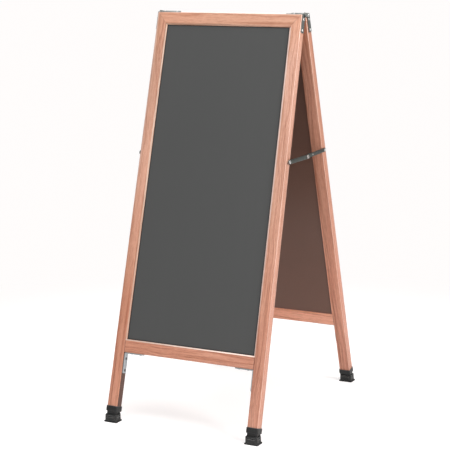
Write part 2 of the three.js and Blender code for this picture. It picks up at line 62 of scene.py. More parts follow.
# Studio: name, place, aim, size (m), power (W), colour.
LAMPS = (
    ("key", (3.9, -0.9, 2.9), (0, 0, 0.6), 2.0, 168, (1.0, 0.985, 0.975)),
    ("front", (0.2, -4.7, 2.1), (0, 0, 0.6), 2.6, 31, (1.0, 0.99, 0.98)),
    ("fill", (2.7, -2.6, 0.35), (0, 0.15, 0.45), 1.2, 15, (1.0, 0.98, 0.96)),
    ("back", (-1.9, 4.3, 2.3), (0, 0, 0.6), 2.4, 40, (1.0, 0.99, 0.98)),
    ("top", (0.0, -0.6, 3.8), (0, 0, 0.5), 2.2, 58, (1.0, 1.0, 1.0)),
    ("side", (-4.1, 1.1, 1.7), (0, 0, 0.6), 2.2, 55, (1.0, 0.99, 0.98)),
)
WORLD = 0.32
FLOOR_LIFT = 0.40
BACKDROP = (1.0, 0.978, 0.970)

SCENE = bpy.context.scene
FACES = {-1: "front", 1: "rear"}
BODY = {-1: "front_frame", 1: "rear_frame"}
HANDS = (("left", -1), ("right", 1))


def to_world(side, x, s, t):
    """A point of one frame: x across, s down the slope from the top edge, t out from the inner face (mm)."""
    return Vector((
        x / 1000,
        side * (SA * s + CA * (BACK + t)) / 1000,
        (TOP_Z - CA * s + SA * (BACK + t)) / 1000,
    ))


def side_world(k, y, z, d):
    """A point beside the stiles: d is the distance outside the side face (mm)."""
    return Vector((k * (HALF + d) / 1000, y / 1000, z / 1000))


# ------------------------------------------------------------------ mesh helpers
def link(name, mesh):
    ob = bpy.data.objects.new(name, mesh)
    SCENE.collection.objects.link(ob)
    return ob


def mesh_from(name, bm):
    me = bpy.data.meshes.new(name)
    bm.to_mesh(me)
    bm.free()
    return me


def prism(points, lo, hi, place):
    """A closed prism: outline points (u, v) from lo to hi, each corner moved by place(u, v, w)."""
    bm = bmesh.new()
    low = [bm.verts.new(place(u, v, lo)) for u, v in points]
    high = [bm.verts.new(place(u, v, hi)) for u, v in points]
    bm.faces.new(low)
    bm.faces.new(high[::-1])
    n = len(points)
    for i in range(n):
        j = (i + 1) % n
        bm.faces.new((low[i], high[i], high[j], low[j]))
    bmesh.ops.recalc_face_normals(bm, faces=bm.faces)
    return bm


def box_bm(x0, x1, s0, s1, t0, t1):
    return prism([(x0, s0), (x1, s0), (x1, s1), (x0, s1)], t0, t1, lambda x, s, t: (x, s, t))


def bevel(bm, edges, width, segments):
    bmesh.ops.bevel(bm, geom=edges, offset=width, offset_type="OFFSET", segments=segments,
                    profile=0.5, affect="EDGES", clamp_overlap=True)


def sharp_edges(bm, angle=30):
    lim = math.radians(angle)
    return [e for e in bm.edges if len(e.link_faces) == 2 and e.calc_face_angle(0) > lim]


def boolean(ob, cutter, op="DIFFERENCE"):
    """Applies one boolean and removes the cutter."""
    mod = ob.modifiers.new("cut", "BOOLEAN")
    mod.operation, mod.object, mod.solver = op, cutter, "EXACT"
    dg = bpy.context.evaluated_depsgraph_get()
    made = bpy.data.meshes.new_from_object(ob.evaluated_get(dg))
    ob.modifiers.clear()
    old = ob.data
    ob.data = made
    bpy.data.meshes.remove(old)
    bpy.data.objects.remove(cutter)
    return ob


def smooth(ob, angle=35):
    for p in ob.data.polygons:
        p.use_smooth = True
    mod_angle(ob, angle)


def mod_angle(ob, angle):
    """Marks edges steeper than the angle as sharp, so that flats stay flat and rounds stay round."""
    bm = bmesh.new()
    bm.from_mesh(ob.data)
    lim = math.radians(angle)
    for e in bm.edges:
        if len(e.link_faces) == 2:
            e.smooth = e.calc_face_angle(0) <= lim
        else:
            e.smooth = False
    bm.to_mesh(ob.data)
    bm.free()


def store(ob, name, values):
    """A vector per vertex, read by the materials."""
    a = ob.data.attributes.new(name, "FLOAT_VECTOR", "POINT")
    flat = [c for v in values for c in v]
    a.data.foreach_set("vector", flat)


def finish_piece(ob, mat, body, replaces=()):
    ob.data.materials.clear()
    ob.data.materials.append(mat)
    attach(ob, body)
    if replaces:
        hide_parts(*replaces)
    return ob


# ------------------------------------------------------------------ node helpers
class Nodes:
    def __init__(self, name):
        self.mat = bpy.data.materials.new(name)
        self.mat.use_nodes = True
        self.t = self.mat.node_tree
        self.t.nodes.clear()
        self.out = self.t.nodes.new("ShaderNodeOutputMaterial")
        self.bsdf = self.t.nodes.new("ShaderNodeBsdfPrincipled")
        self.t.links.new(self.bsdf.outputs[0], self.out.inputs[0])

    def add(self, kind, **kw):
        n = self.t.nodes.new(kind)
        for k, v in kw.items():
            if k.startswith("in_"):
                n.inputs[k[3:].replace("_", " ")].default_value = v
            else:
                setattr(n, k, v)
        return n

    def link(self, a, b):
        self.t.links.new(a, b)

    def set(self, **kw):
        for k, v in kw.items():
            self.bsdf.inputs[k.replace("_", " ")].default_value = v

    def math(self, op, a, b=None, clamp=False):
        n = self.add("ShaderNodeMath", operation=op, use_clamp=clamp)
        for i, x in enumerate((a, b)):
            if x is None:
                continue
            if isinstance(x, (int, float)):
                n.inputs[i].default_value = x
            else:
                self.link(x, n.inputs[i])
        return n.outputs[0]

    def ramp(self, fac, stops, interp="LINEAR"):
        n = self.add("ShaderNodeValToRGB")
        n.color_ramp.interpolation = interp
        el = n.color_ramp.elements
        while len(el) < len(stops):
            el.new(0.5)
        for e, (p, c) in zip(el, stops):
            e.position = p
            e.color = (c, c, c, 1) if isinstance(c, (int, float)) else (*c, 1)
        self.link(fac, n.inputs[0])
        return n.outputs[0]

    def noise(self, vec, scale, detail=3, rough=0.5, dist=0.0, out="Fac"):
        n = self.add("ShaderNodeTexNoise")
        n.inputs["Scale"].default_value = scale
        n.inputs["Detail"].default_value = detail
        n.inputs["Roughness"].default_value = rough
        n.inputs["Distortion"].default_value = dist
        self.link(vec, n.inputs["Vector"])
        return n.outputs[out]

    def mapping(self, vec, scale=(1, 1, 1), loc=(0, 0, 0), rot=(0, 0, 0)):
        n = self.add("ShaderNodeMapping")
        n.inputs["Scale"].default_value = scale
        n.inputs["Location"].default_value = loc
        n.inputs["Rotation"].default_value = rot
        self.link(vec, n.inputs["Vector"])
        return n.outputs[0]

    def mix(self, fac, a, b, kind="MIX"):
        n = self.add("ShaderNodeMix", data_type="RGBA", blend_type=kind)
        for sock, x in ((n.inputs[0], fac), (n.inputs[6], a), (n.inputs[7], b)):
            if isinstance(x, (int, float)):
                sock.default_value = x
            elif isinstance(x, tuple):
                sock.default_value = (*x, 1)
            else:
                self.link(x, sock)
        return n.outputs[2]

    def bump(self, height, strength, dist, normal=None):
        n = self.add("ShaderNodeBump")
        n.inputs["Strength"].default_value = strength
        n.inputs["Distance"].default_value = dist
        self.link(height, n.inputs["Height"])
        if normal is not None:
            self.link(normal, n.inputs["Normal"])
        return n.outputs[0]


def srgb(r, g, b):
    f = lambda c: (c / 255 / 12.92) if c / 255 <= 0.04045 else ((c / 255 + 0.055) / 1.055) ** 2.4
    return (f(r), f(g), f(b))


# ------------------------------------------------------------------ materials
def oak():
    """Red oak under a clear satin finish. 'grain' holds along, across and depth in metres."""
    N = Nodes("oak")
    at = N.add("ShaderNodeAttribute", attribute_name="grain").outputs["Vector"]
    sep = N.add("ShaderNodeSeparateXYZ")
    N.link(at, sep.inputs[0])
    L, U, V = sep.outputs
    # growth rings: distance from a pith line below the board, wandering along the piece
    wander = N.noise(N.mapping(at, scale=(3.2, 7, 7)), 1.0, 2, 0.45)
    wander2 = N.noise(N.mapping(at, scale=(13, 60, 60)), 1.0, 2, 0.5)
    u = N.math("ADD", U, N.math("MULTIPLY", N.math("SUBTRACT", wander, 0.5), 0.075))
    u = N.math("ADD", u, N.math("MULTIPLY", N.math("SUBTRACT", wander2, 0.5), 0.0045))
    v = N.math("ADD", V, 0.018)
    r = N.math("SQRT", N.math("ADD", N.math("MULTIPLY", u, u), N.math("MULTIPLY", v, v)))
    rings = N.math("MULTIPLY", r, 2 * math.pi / 0.0031)
    wave = N.math("ADD", N.math("MULTIPLY", N.math("SINE", rings), 0.5), 0.5)
    early = N.ramp(wave, [(0.0, 0.0), (0.40, 0.10), (0.75, 0.65), (1.0, 1.0)])
    # open pores: short dark lines, thickest in the early wood
    pores = N.noise(N.mapping(at, scale=(30, 1700, 1700)), 1.0, 3, 0.65)
    pores = N.ramp(pores, [(0.50, 0.0), (0.62, 1.0)])
    pores = N.math("MULTIPLY", pores, N.math("ADD", N.math("MULTIPLY", early, 0.75), 0.25))
    # streaks about a millimetre wide, and broader bands of colour
    streak = N.noise(N.mapping(at, scale=(5, 520, 520)), 1.0, 4, 0.62)
    streak = N.ramp(streak, [(0.30, 0.0), (0.70, 1.0)])
    broad = N.noise(N.mapping(at, scale=(5, 95, 95)), 1.0, 3, 0.55)
    broad = N.ramp(broad, [(0.35, 0.0), (0.65, 1.0)])
    # ray flecks: short light dashes
    ray = N.noise(N.mapping(at, scale=(130, 460, 460)), 1.0, 2, 0.5)
    ray = N.ramp(ray, [(0.60, 0.0), (0.70, 1.0)])
    light, mid, dark, deep = srgb(*OAK_LIGHT), srgb(*OAK_MID), srgb(*OAK_DARK), srgb(*OAK_DEEP)
    col = N.mix(streak, light, mid)
    col = N.mix(N.math("MULTIPLY", early, 0.36), col, dark)
    col = N.mix(N.math("MULTIPLY", broad, 0.35), col, srgb(*OAK_PINK))
    col = N.mix(N.math("MULTIPLY", ray, 0.34), col, srgb(240, 204, 186))
    col = N.mix(N.math("MULTIPLY", pores, 0.62), col, deep)
    # a mottled figure of short soft dashes, and a few long reddish streaks
    dash = N.noise(N.mapping(at, scale=(55, 300, 300)), 1.0, 3, 0.6, 0.4)
    col = N.mix(1.0, col, N.ramp(dash, [(0.34, (0.90, 0.87, 0.85)), (0.50, (1.0, 0.995, 0.99)), (0.66, (1.05, 1.055, 1.06))]), "MULTIPLY")
    long = N.noise(N.mapping(at, scale=(4.5, 150, 150)), 1.0, 2, 0.5, 0.6)
    col = N.mix(1.0, col, N.ramp(long, [(0.36, (0.82, 0.73, 0.67)), (0.47, (1.0, 1.0, 1.0)), (0.70, (1.05, 1.06, 1.08))]), "MULTIPLY")
    tone = N.noise(N.mapping(at, scale=(1.9, 5, 5)), 1.0, 1, 0.5)
    tone = N.ramp(tone, [(0.3, 0.93), (0.7, 1.05)])
    col = N.mix(1.0, col, tone, "MULTIPLY")
    # colour drifts along and across the frame: fitted to the photo, so it holds the oak's own tone together with
    # painted light and shade
    where = N.add("ShaderNodeSeparateXYZ")
    N.link(N.add("ShaderNodeAttribute", attribute_name="place").outputs["Vector"], where.inputs[0])
    across = N.ramp(where.outputs[0], [(0.12, 0.0), (0.88, 1.0)])
    drift = N.mix(across, N.ramp(where.outputs[1], OAK_DRIFT_LEFT), N.ramp(where.outputs[1], OAK_DRIFT_RIGHT))
    col = N.mix(1.0, col, drift, "MULTIPLY")
    col = N.mix(1.0, col, (OAK_GAIN,) * 3, "MULTIPLY")
    # painted shade on the rear frame, with its own tint: darker and redder towards the top, a little lighter low down
    col = N.mix(where.outputs[2], col, N.mix(1.0, col, N.ramp(where.outputs[1], REAR_TINT_AND_SHADE), "MULTIPLY"))
    x_mm = N.math("ABSOLUTE", N.math("MULTIPLY", N.math("SUBTRACT", where.outputs[0], 0.5), 2 * HALF))
    # painted light: the rear bottom rail reads lighter in the photo than the rear stiles, so its colour is lifted
    lighter = N.ramp(N.math("DIVIDE", x_mm, HALF), [((HALF - LEG - 1.0) / HALF, 1.0), ((HALF - LEG) / HALF, 0.0)])
    lighter = N.math("MULTIPLY", N.math("MULTIPLY", lighter, where.outputs[2]), N.ramp(where.outputs[1], [(0.5, 0.0), (0.51, 1.0)]))
    col = N.mix(lighter, col, N.mix(1.0, col, (1.34, 1.38, 1.40), "MULTIPLY"))
    # finish gathers as a fine dark line along the joints: legs to bottom rail, and the top mitres
    s_mm = N.math("MULTIPLY", where.outputs[1], SLOPE)
    butt = N.ramp(N.math("ABSOLUTE", N.math("SUBTRACT", x_mm, HALF - LEG)), [(0.25, 1.0), (0.95, 0.0)])
    a, b = (OPEN_END + BEAD) / SLOPE, RAIL_END / SLOPE
    butt = N.math("MULTIPLY", butt, N.ramp(where.outputs[1], [(a - 0.001, 0.0), (a, 1.0), (b, 1.0), (b + 0.001, 0.0)]))
    off = N.math("ADD", N.math("MULTIPLY", N.math("SUBTRACT", x_mm, HALF), RAIL_TOP), N.math("MULTIPLY", s_mm, STILE))
    mitre = N.ramp(N.math("DIVIDE", N.math("ABSOLUTE", off), math.hypot(RAIL_TOP, STILE)), [(0.15, 1.0), (0.8, 0.0)])
    mitre = N.math("MULTIPLY", mitre, N.ramp(where.outputs[1], [((RAIL_TOP + 1) / SLOPE, 1.0), ((RAIL_TOP + 2) / SLOPE, 0.0)]))
    col = N.mix(N.math("MULTIPLY", butt, 0.62), col, srgb(92, 62, 52))
    col = N.mix(N.math("MULTIPLY", mitre, 0.25), col, srgb(110, 72, 58))
    # fitted to the photo: the bead and the eased outer edges read pale with painted highlights, the inner edges of the
    # legs read dark
    mark = N.add("ShaderNodeAttribute", attribute_name="mark").outputs["Fac"]
    bead = N.ramp(mark, [(0.70, 0.0), (0.80, 1.0)])
    edge = N.math("MULTIPLY", N.ramp(mark, [(0.3, 0.0), (0.4, 1.0)]), N.math("SUBTRACT", 1.0, bead))
    edge_highlight = N.math("MULTIPLY", N.ramp(mark, [(0.10, 0.0), (0.15, 1.0)]), N.ramp(mark, [(0.25, 1.0), (0.30, 0.0)]))
    # painted highlight on the bead: faint on the left, strong on the right, none along the top rail, stronger along the
    # bottom rail
    pale = N.math("ADD", N.math("MULTIPLY", across, BEAD_PALE[1] - BEAD_PALE[0]), BEAD_PALE[0])
    pale = N.math("MULTIPLY", pale, N.ramp(where.outputs[1], [(0.033, 0.0), (0.045, 1.0)]))
    low = N.ramp(where.outputs[1], [((OPEN_END - 0.5) / SLOPE, 0.0), (OPEN_END / SLOPE, 0.3)])
    pale = N.math("ADD", pale, low, clamp=True)
    col = N.mix(N.math("MULTIPLY", bead, pale), col, srgb(250, 226, 214))
    # painted light: the left bead gets a cooler cast
    cool = N.math("MULTIPLY", bead, N.math("SUBTRACT", 1.0, across, clamp=True))
    col = N.mix(cool, col, N.mix(1.0, col, (0.83, 1.0, 1.04), "MULTIPLY"))
    # painted light, fitted to the photo: the left stile's outer band reads paler
    band = N.ramp(N.math("DIVIDE", x_mm, HALF), [((HALF - 7.0) / HALF, 0.0), ((HALF - 2.0) / HALF, 1.0)])
    band = N.math("MULTIPLY", band, N.ramp(where.outputs[0], [(0.49, 1.0), (0.50, 0.0)]))
    band = N.math("MULTIPLY", band, N.ramp(where.outputs[1], [(0.05, 0.30), (0.40, 0.22), (0.60, 0.0)]))
    col = N.mix(band, col, srgb(226, 212, 206))
    # painted highlight along the eased outer edges and the top arris, strongest near the top
    edge_highlight_fade = N.ramp(where.outputs[1], [(0.055, 0.85), (0.075, 0.42)])
    col = N.mix(N.math("MULTIPLY", edge_highlight, edge_highlight_fade), col, srgb(252, 230, 218))
    # painted highlight, fitted to the photo: on the right the arris above the bead reads as a pale line
    depth = N.add("ShaderNodeSeparateXYZ")
    N.link(N.add("ShaderNodeAttribute", attribute_name="depth").outputs["Vector"], depth.inputs[0])
    arris = N.math("DIVIDE", N.math("SUBTRACT", x_mm, HALF - LEG), 4.0)
    arris = N.math("MULTIPLY", N.ramp(arris, [(0.45, 1.0), (0.70, 0.0)]), N.ramp(arris, [(0.0, 0.0), (0.01, 1.0)]))
    arris = N.math("MULTIPLY", arris, N.ramp(depth.outputs[0], [(0.96, 0.0), (0.98, 1.0)]))
    arris = N.math("MULTIPLY", arris, N.ramp(where.outputs[1], [(RAIL_TOP / SLOPE, 0.0), ((RAIL_TOP + 1) / SLOPE, 1.0), (a, 1.0), (a + 0.001, 0.0)]))
    arris = N.math("MULTIPLY", arris, N.ramp(where.outputs[0], [(0.5, 0.0), (0.51, 1.0)]))
    col = N.mix(N.math("MULTIPLY", arris, N.ramp(where.outputs[1], [(0.1, 0.66), (0.5, 0.45), (0.74, 0.08)])), col, srgb(250, 228, 220))
    col = N.mix(N.math("MULTIPLY", edge, 0.93), col, srgb(70, 42, 32))
    # the sharp inner corners of joints are dirty and hold gathered finish, and are darkened with painted shade
    ao = N.add("ShaderNodeAmbientOcclusion", samples=8)
    ao.inputs["Distance"].default_value = 0.003
    ao_dark = N.ramp(ao.outputs["AO"], [(0.40, 0.60), (0.80, 1.0)])
    col = N.mix(1.0, col, ao_dark, "MULTIPLY")
    N.link(col, N.bsdf.inputs["Base Color"])
    rough = N.ramp(pores, [(0.0, 0.38), (1.0, 0.62)])
    N.link(rough, N.bsdf.inputs["Roughness"])
    N.set(Specular_IOR_Level=0.45, Coat_Weight=0.35, Coat_Roughness=0.24)
    h = N.math("SUBTRACT", N.math("MULTIPLY", streak, 0.25), pores)
    N.link(N.bump(h, 0.35, 0.00025), N.bsdf.inputs["Normal"])
    return N.mat


# the drift of the oak's colour with distance down the slope, on the left and the right of each frame: partly the oak's
# own tone, partly painted light and shade
OAK_DRIFT_LEFT = [(0.02, (0.79, 0.78, 0.74)), (0.12, (0.71, 0.72, 0.72)), (0.45, (0.79, 0.81, 0.82)), (0.72, (0.69, 0.56, 0.49)), (0.93, (0.75, 0.64, 0.59))]
OAK_DRIFT_RIGHT = [(0.02, (0.79, 0.78, 0.75)), (0.12, (0.82, 0.88, 0.94)), (0.45, (0.80, 0.80, 0.80)), (0.72, (0.77, 0.68, 0.65)), (0.93, (0.78, 0.70, 0.68))]
OAK_GAIN = 1.16
# painted highlight on the bead, from the left stile to the right
BEAD_PALE = (0.12, 0.90)
# the rear frame's tint together with painted shade: darker towards the top
REAR_TINT_AND_SHADE = [(0.05, (0.84, 0.72, 0.66)), (0.5, (0.92, 0.80, 0.74)), (0.85, (1.08, 1.03, 1.01))]
OAK_LIGHT, OAK_MID, OAK_DARK, OAK_DEEP, OAK_PINK = (232, 184, 160), (212, 154, 128), (184, 116, 88), (140, 80, 56), (208, 144, 120)


def slate():
    """Matt chalkboard coating with the faintest wiped dust."""
    N = Nodes("slate")
    co = N.add("ShaderNodeTexCoord").outputs["Object"]
    dust = N.noise(N.mapping(co, scale=(5, 3, 1.6), rot=(0, 0, 0.2)), 1.0, 4, 0.55, 0.6)
    wipe = N.noise(N.mapping(co, scale=(55, 3, 3), rot=(0, 0.35, 0)), 1.0, 3, 0.5)
    fine = N.noise(co, 2600, 2, 0.6)
    m = N.math("MULTIPLY", N.ramp(dust, [(0.35, 0.0), (0.75, 1.0)]), N.ramp(wipe, [(0.3, 0.25), (0.7, 1.0)]))
    col = N.mix(N.math("MULTIPLY", m, 0.25), srgb(*SLATE_BASE), srgb(*[c + 8 for c in SLATE_BASE]))
    col = N.mix(N.math("MULTIPLY", fine, 0.08), col, srgb(120, 120, 118))
    # painted shade: the coating darkens close to the frame's edges
    ao = N.add("ShaderNodeAmbientOcclusion", samples=8)
    ao.inputs["Distance"].default_value = 0.006
    col = N.mix(1.0, col, N.ramp(ao.outputs["AO"], [(0.55, 0.02), (0.84, 0.36), (0.94, 1.0)]), "MULTIPLY")
    N.link(col, N.bsdf.inputs["Base Color"])
    N.link(N.ramp(m, [(0.0, 0.80), (1.0, 0.90)]), N.bsdf.inputs["Roughness"])
    N.set(Specular_IOR_Level=0.16)
    N.link(N.bump(fine, 0.12, 0.00006), N.bsdf.inputs["Normal"])
    return N.mat


SLATE_BASE = (77, 78, 78)


def hardboard():
    """Tempered hardboard, smooth face: dark brown pressed fibres under a low sheen, hardly mottled."""
    N = Nodes("hardboard")
    co = N.add("ShaderNodeTexCoord").outputs["Object"]
    cloud = N.noise(co, 14, 3, 0.5)
    fibre = N.noise(N.mapping(co, scale=(1500, 1500, 420)), 1.0, 3, 0.6, 0.8)
    speck = N.noise(co, 2400, 1, 0.5)
    col = N.mix(N.ramp(cloud, [(0.30, 0.0), (0.70, 1.0)]), srgb(*BOARD_A), srgb(*BOARD_B))
    col = N.mix(N.math("MULTIPLY", N.ramp(fibre, [(0.45, 0.0), (0.7, 1.0)]), 0.18), col, srgb(58, 42, 36))
    col = N.mix(N.math("MULTIPLY", N.ramp(speck, [(0.64, 0.0), (0.74, 1.0)]), 0.12), col, srgb(120, 96, 84))
    # painted shade: the board darkens towards its top, and is a little lighter at the bottom
    up = N.add("ShaderNodeSeparateXYZ")
    N.link(N.add("ShaderNodeTexCoord").outputs["Generated"], up.inputs[0])
    col = N.mix(1.0, col, N.ramp(up.outputs[2], [(0.0, (1.08, 1.02, 1.0)), (0.45, (0.90, 0.86, 0.84)), (1.0, (0.66, 0.62, 0.62))]), "MULTIPLY")
    N.link(col, N.bsdf.inputs["Base Color"])
    N.link(N.ramp(cloud, [(0.2, 0.30), (0.8, 0.32)]), N.bsdf.inputs["Roughness"])
    N.set(Specular_IOR_Level=0.42)
    N.link(N.bump(fibre, 0.05, 0.0001), N.bsdf.inputs["Normal"])
    return N.mat


BOARD_A, BOARD_B = (114, 87, 76), (116, 88, 77)


def rubber():
    """Black moulded rubber with a slight gloss, with painted highlights on its convex edges."""
    N = Nodes("rubber")
    co = N.add("ShaderNodeTexCoord").outputs["Object"]
    n1 = N.noise(co, 90, 4, 0.6)
    grit = N.noise(co, 2200, 2, 0.6)
    # painted highlight: the convex edges are painted pale
    rim = N.add("ShaderNodeAmbientOcclusion", samples=8, inside=True)
    rim.inputs["Distance"].default_value = 0.0013
    edge = N.ramp(rim.outputs["AO"], [(0.45, 1.0), (0.85, 0.0)])
    col = N.mix(n1, srgb(22, 23, 23), srgb(36, 37, 37))
    col = N.mix(N.math("MULTIPLY", edge, 0.85), col, srgb(150, 152, 151))
    ao = N.add("ShaderNodeAmbientOcclusion", samples=8)
    ao.inputs["Distance"].default_value = 0.008
    shade = N.ramp(ao.outputs["AO"], [(0.50, 0.0), (0.88, 1.0)])
    col = N.mix(1.0, col, shade, "MULTIPLY")
    N.link(N.math("MULTIPLY", shade, 0.5), N.bsdf.inputs["Specular IOR Level"])
    N.link(col, N.bsdf.inputs["Base Color"])
    N.link(N.ramp(n1, [(0.3, 0.30), (0.7, 0.42)]), N.bsdf.inputs["Roughness"])
    N.link(N.bump(grit, 0.22, 0.00010), N.bsdf.inputs["Normal"])
    return N.mat


def metal(name, base, tint, rough, scratch=(900, 900, 40), amount=0.5, wear=0.35, grime_and_shade=0.5):
    """Plated strip steel: rolled brush lines, blotchy plating, edge wear, and corners that are dirty and darkened with
    painted shade.
    """
    N = Nodes(name)
    co = N.add("ShaderNodeTexCoord").outputs["Object"]
    lines = N.noise(N.mapping(co, scale=scratch), 1.0, 3, 0.6)
    blot = N.noise(co, 140, 4, 0.6)
    spot = N.noise(co, 700, 2, 0.5)
    geo = N.add("ShaderNodeNewGeometry").outputs["Pointiness"]
    edge = N.ramp(geo, [(0.51, 0.0), (0.58, 1.0)])
    col = N.mix(N.ramp(blot, [(0.35, 0.0), (0.65, 1.0)]), base, tint)
    col = N.mix(N.math("MULTIPLY", N.ramp(lines, [(0.4, 0.0), (0.7, 1.0)]), 0.25), col, tuple(min(1, c * 1.6) for c in base))
    col = N.mix(N.math("MULTIPLY", edge, wear), col, srgb(205, 207, 202))
    col = N.mix(N.math("MULTIPLY", N.ramp(spot, [(0.62, 0.0), (0.72, 1.0)]), 0.3), col, tuple(c * 0.45 for c in base))
    # dirty corners with painted shade: near-black close to inner corners, where the metal also loses its shine
    ao = N.add("ShaderNodeAmbientOcclusion", samples=8)
    ao.inputs["Distance"].default_value = 0.0016
    dirt_and_shade = N.math("MULTIPLY", N.ramp(ao.outputs["AO"], [(0.4, 1.0), (0.95, 0.0)]), grime_and_shade)
    col = N.mix(dirt_and_shade, col, srgb(26, 26, 25))
    N.link(col, N.bsdf.inputs["Base Color"])
    N.link(N.math("SUBTRACT", 1.0, N.math("MULTIPLY", dirt_and_shade, 0.7)), N.bsdf.inputs["Metallic"])
    rr = N.math("ADD", N.math("MULTIPLY", blot, 0.22), rough - 0.10)
    N.link(rr, N.bsdf.inputs["Roughness"])
    h = N.math("ADD", N.math("MULTIPLY", lines, amount), N.math("MULTIPLY", blot, 0.3))
    N.link(N.bump(h, 0.22, 0.00015), N.bsdf.inputs["Normal"])
    return N.mat


OAK = oak()
SLATE = slate()
HARDBOARD = hardboard()
RUBBER = rubber()
STEEL_MAT = metal("strap_steel", srgb(92, 97, 92), srgb(76, 80, 76), 0.42, wear=0.12, grime_and_shade=0.8)
STRAP_MAT = metal("hinge_steel", srgb(146, 152, 150), srgb(118, 124, 122), 0.42, wear=0.6, grime_and_shade=0.6)
ZINC = metal("zinc_steel", srgb(206, 214, 218), srgb(186, 196, 202), 0.34, wear=0.2)
BRIGHT = metal("bright_steel", srgb(226, 226, 224), srgb(200, 201, 200), 0.26, scratch=(500, 500, 500), wear=0.2)
DULL = metal("dull_rivet", srgb(206, 197, 194), srgb(176, 168, 165), 0.34, scratch=(500, 500, 500), wear=0.3)
HEAD = metal("iron_screw_head", srgb(96, 102, 106), srgb(74, 79, 83), 0.40, scratch=(500, 500, 500), wear=0.2)

# ------------------------------------------------------------------ wood
PIECE = [0]
TOP_BEAD = BEAD * RAIL_TOP / STILE


def wood(name, side, bm, along, body, node, hardcut=(), cathedral=None):
    """Finishes one oak piece built in panel millimetres."""
    ob = link(name, mesh_from(name, bm))
    for c in hardcut:
        boolean(ob, link("cutter", mesh_from("cutter", c)))
    PIECE[0] += 1
    k = PIECE[0]
    off = 0.37 * k
    shift = ((k * 37) % 11 - 5) * 0.0022 if cathedral is None else cathedral
    vals = []
    for v in ob.data.vertices:
        x, s, t = v.co
        if along == "s":
            mid = x - (HALF - LEG / 2) * (1 if x > 0 else -1)
        else:
            mid = s - (RAIL_TOP / 2 if s < 400 else (OPEN_END + RAIL_END) / 2)
        length = s if along == "s" else x
        vals.append((length / 1000 + off, mid / 1000 + shift, (t if k % 2 else THICK - t) / 1000))
    store(ob, "grain", vals)
    store(ob, "place", [(v.co.x / (2 * HALF) + 0.5, v.co.y / SLOPE, 0.5 + 0.5 * side) for v in ob.data.vertices])
    store(ob, "depth", [(v.co.z / THICK, 0.0, 0.0) for v in ob.data.vertices])
    mark_faces(ob)
    for v in ob.data.vertices:
        v.co = to_world(side, *v.co)
    bm = bmesh.new()
    bm.from_mesh(ob.data)
    bmesh.ops.recalc_face_normals(bm, faces=bm.faces)
    bm.to_mesh(ob.data)
    bm.free()
    smooth(ob, 32)
    return finish_piece(ob, OAK, body, (node,))


EASE = 1.7


def mark_faces(ob):
    """One value per face: 1 on the sloped bead, 0.5 on the inner edge of a leg below the rail, 0.2 on eased outer edges."""
    marks = []
    for p in ob.data.polygons:
        c, n = p.center, p.normal
        value = 0.0
        if THICK - BEAD_DROP - 0.1 < c.z < THICK - 0.03:
            if abs(n.x) > 0.3 and HALF - STILE - 0.1 < abs(c.x) < HALF - LEG + 0.6 and RAIL_TOP - 4 < c.y < OPEN_END + BEAD:
                value = 1.0
            if abs(n.y) > 0.3 and (RAIL_TOP - TOP_BEAD - 0.6 < c.y < RAIL_TOP + 0.1 or OPEN_END - 0.1 < c.y < OPEN_END + BEAD + 0.6):
                value = 1.0
        if abs(n.x) > 0.8 and abs(abs(c.x) - (HALF - LEG)) < 0.3 and c.y > RAIL_END - 60:
            value = 0.5
        if abs(c.x) > HALF - EASE - 0.1 and 0.2 < abs(n.x) < 0.98 and abs(n.z) > 0.2:
            value = 0.2
        if c.y < EASE + 0.1 and n.y < -0.2 and c.z > THICK / 2 and abs(n.x) < 0.2:
            value = 0.2
        marks.append(value)
    ob.data.attributes.new("mark", "FLOAT", "FACE").data.foreach_set("value", marks)


def on_line(v, p, q, tol=0.05):
    """Whether the vertex lies over the line p-q of the (x, s) plane."""
    dx, dy = q[0] - p[0], q[1] - p[1]
    n = math.hypot(dx, dy)
    return abs((v.co.x - p[0]) * dy - (v.co.y - p[1]) * dx) / n < tol


def round_edges(bm, joints, r=EASE, small=0.22):
    """Rounds the long edges; edges of joint faces get only a hair of a chamfer."""
    def joint_edge(e):
        return any(all(on_line(v, p, q) for v in e.verts) for p, q in joints)
    long_edges = [e for e in sharp_edges(bm) if not joint_edge(e)]
    bevel(bm, long_edges, r, 4)
    fine = [e for e in sharp_edges(bm, 50) if joint_edge(e)]
    bevel(bm, fine, small, 1)


def screw_hole(x, s, t, axis, depth=16.0, r=2.15):
    """A cutter for one screw in panel coordinates; axis is 0 for x, 1 for s."""
    bm = bmesh.new()
    bmesh.ops.create_cone(bm, cap_ends=True, segments=20, radius1=r, radius2=r, depth=2 * depth)
    if axis == 0:
        bmesh.ops.rotate(bm, verts=bm.verts, matrix=Matrix.Rotation(math.pi / 2, 3, "Y"))
    else:
        bmesh.ops.rotate(bm, verts=bm.verts, matrix=Matrix.Rotation(math.pi / 2, 3, "X"))
    bmesh.ops.translate(bm, verts=bm.verts, vec=(x, s, t))
    return bm


MIDT = (ST0 + ST1) / 2
G0, G1 = BACK_LIP - 0.15, THICK - BOARD_LIP + 0.15
# The waste in front of the bead: distance past the face edge, height over the inner face. The corner
# between face and slope is eased, and the slope ends in a narrow flat by the board.
BEAD_CUT = [
    (-0.55, THICK + 0.02), (-0.30, THICK - 0.05), (-0.08, THICK - 0.17), (0.16, THICK - 0.36),
    (BEAD - 0.62, THICK - BEAD_DROP + 0.30), (BEAD - 0.40, THICK - BEAD_DROP + 0.08), (BEAD - 0.2, THICK - BEAD_DROP),
    (BEAD + 3, THICK - BEAD_DROP), (BEAD + 3, THICK + 3), (-0.55, THICK + 3),
]


def bead_along_s(k, s1):
    return prism([(k * (HALF - LEG - w), t) for w, t in BEAD_CUT], -3, s1, lambda x, t, s: (x, s, t))


def bead_along_x(at, sign, scale=1.0):
    """at: the edge of the face; sign: the way to the board along s."""
    return prism([(at + sign * w * scale, t) for w, t in BEAD_CUT], -HALF, HALF, lambda s, t, x: (x, s, t))


def fixed(bm):
    bmesh.ops.recalc_face_normals(bm, faces=bm.faces)
    return bm


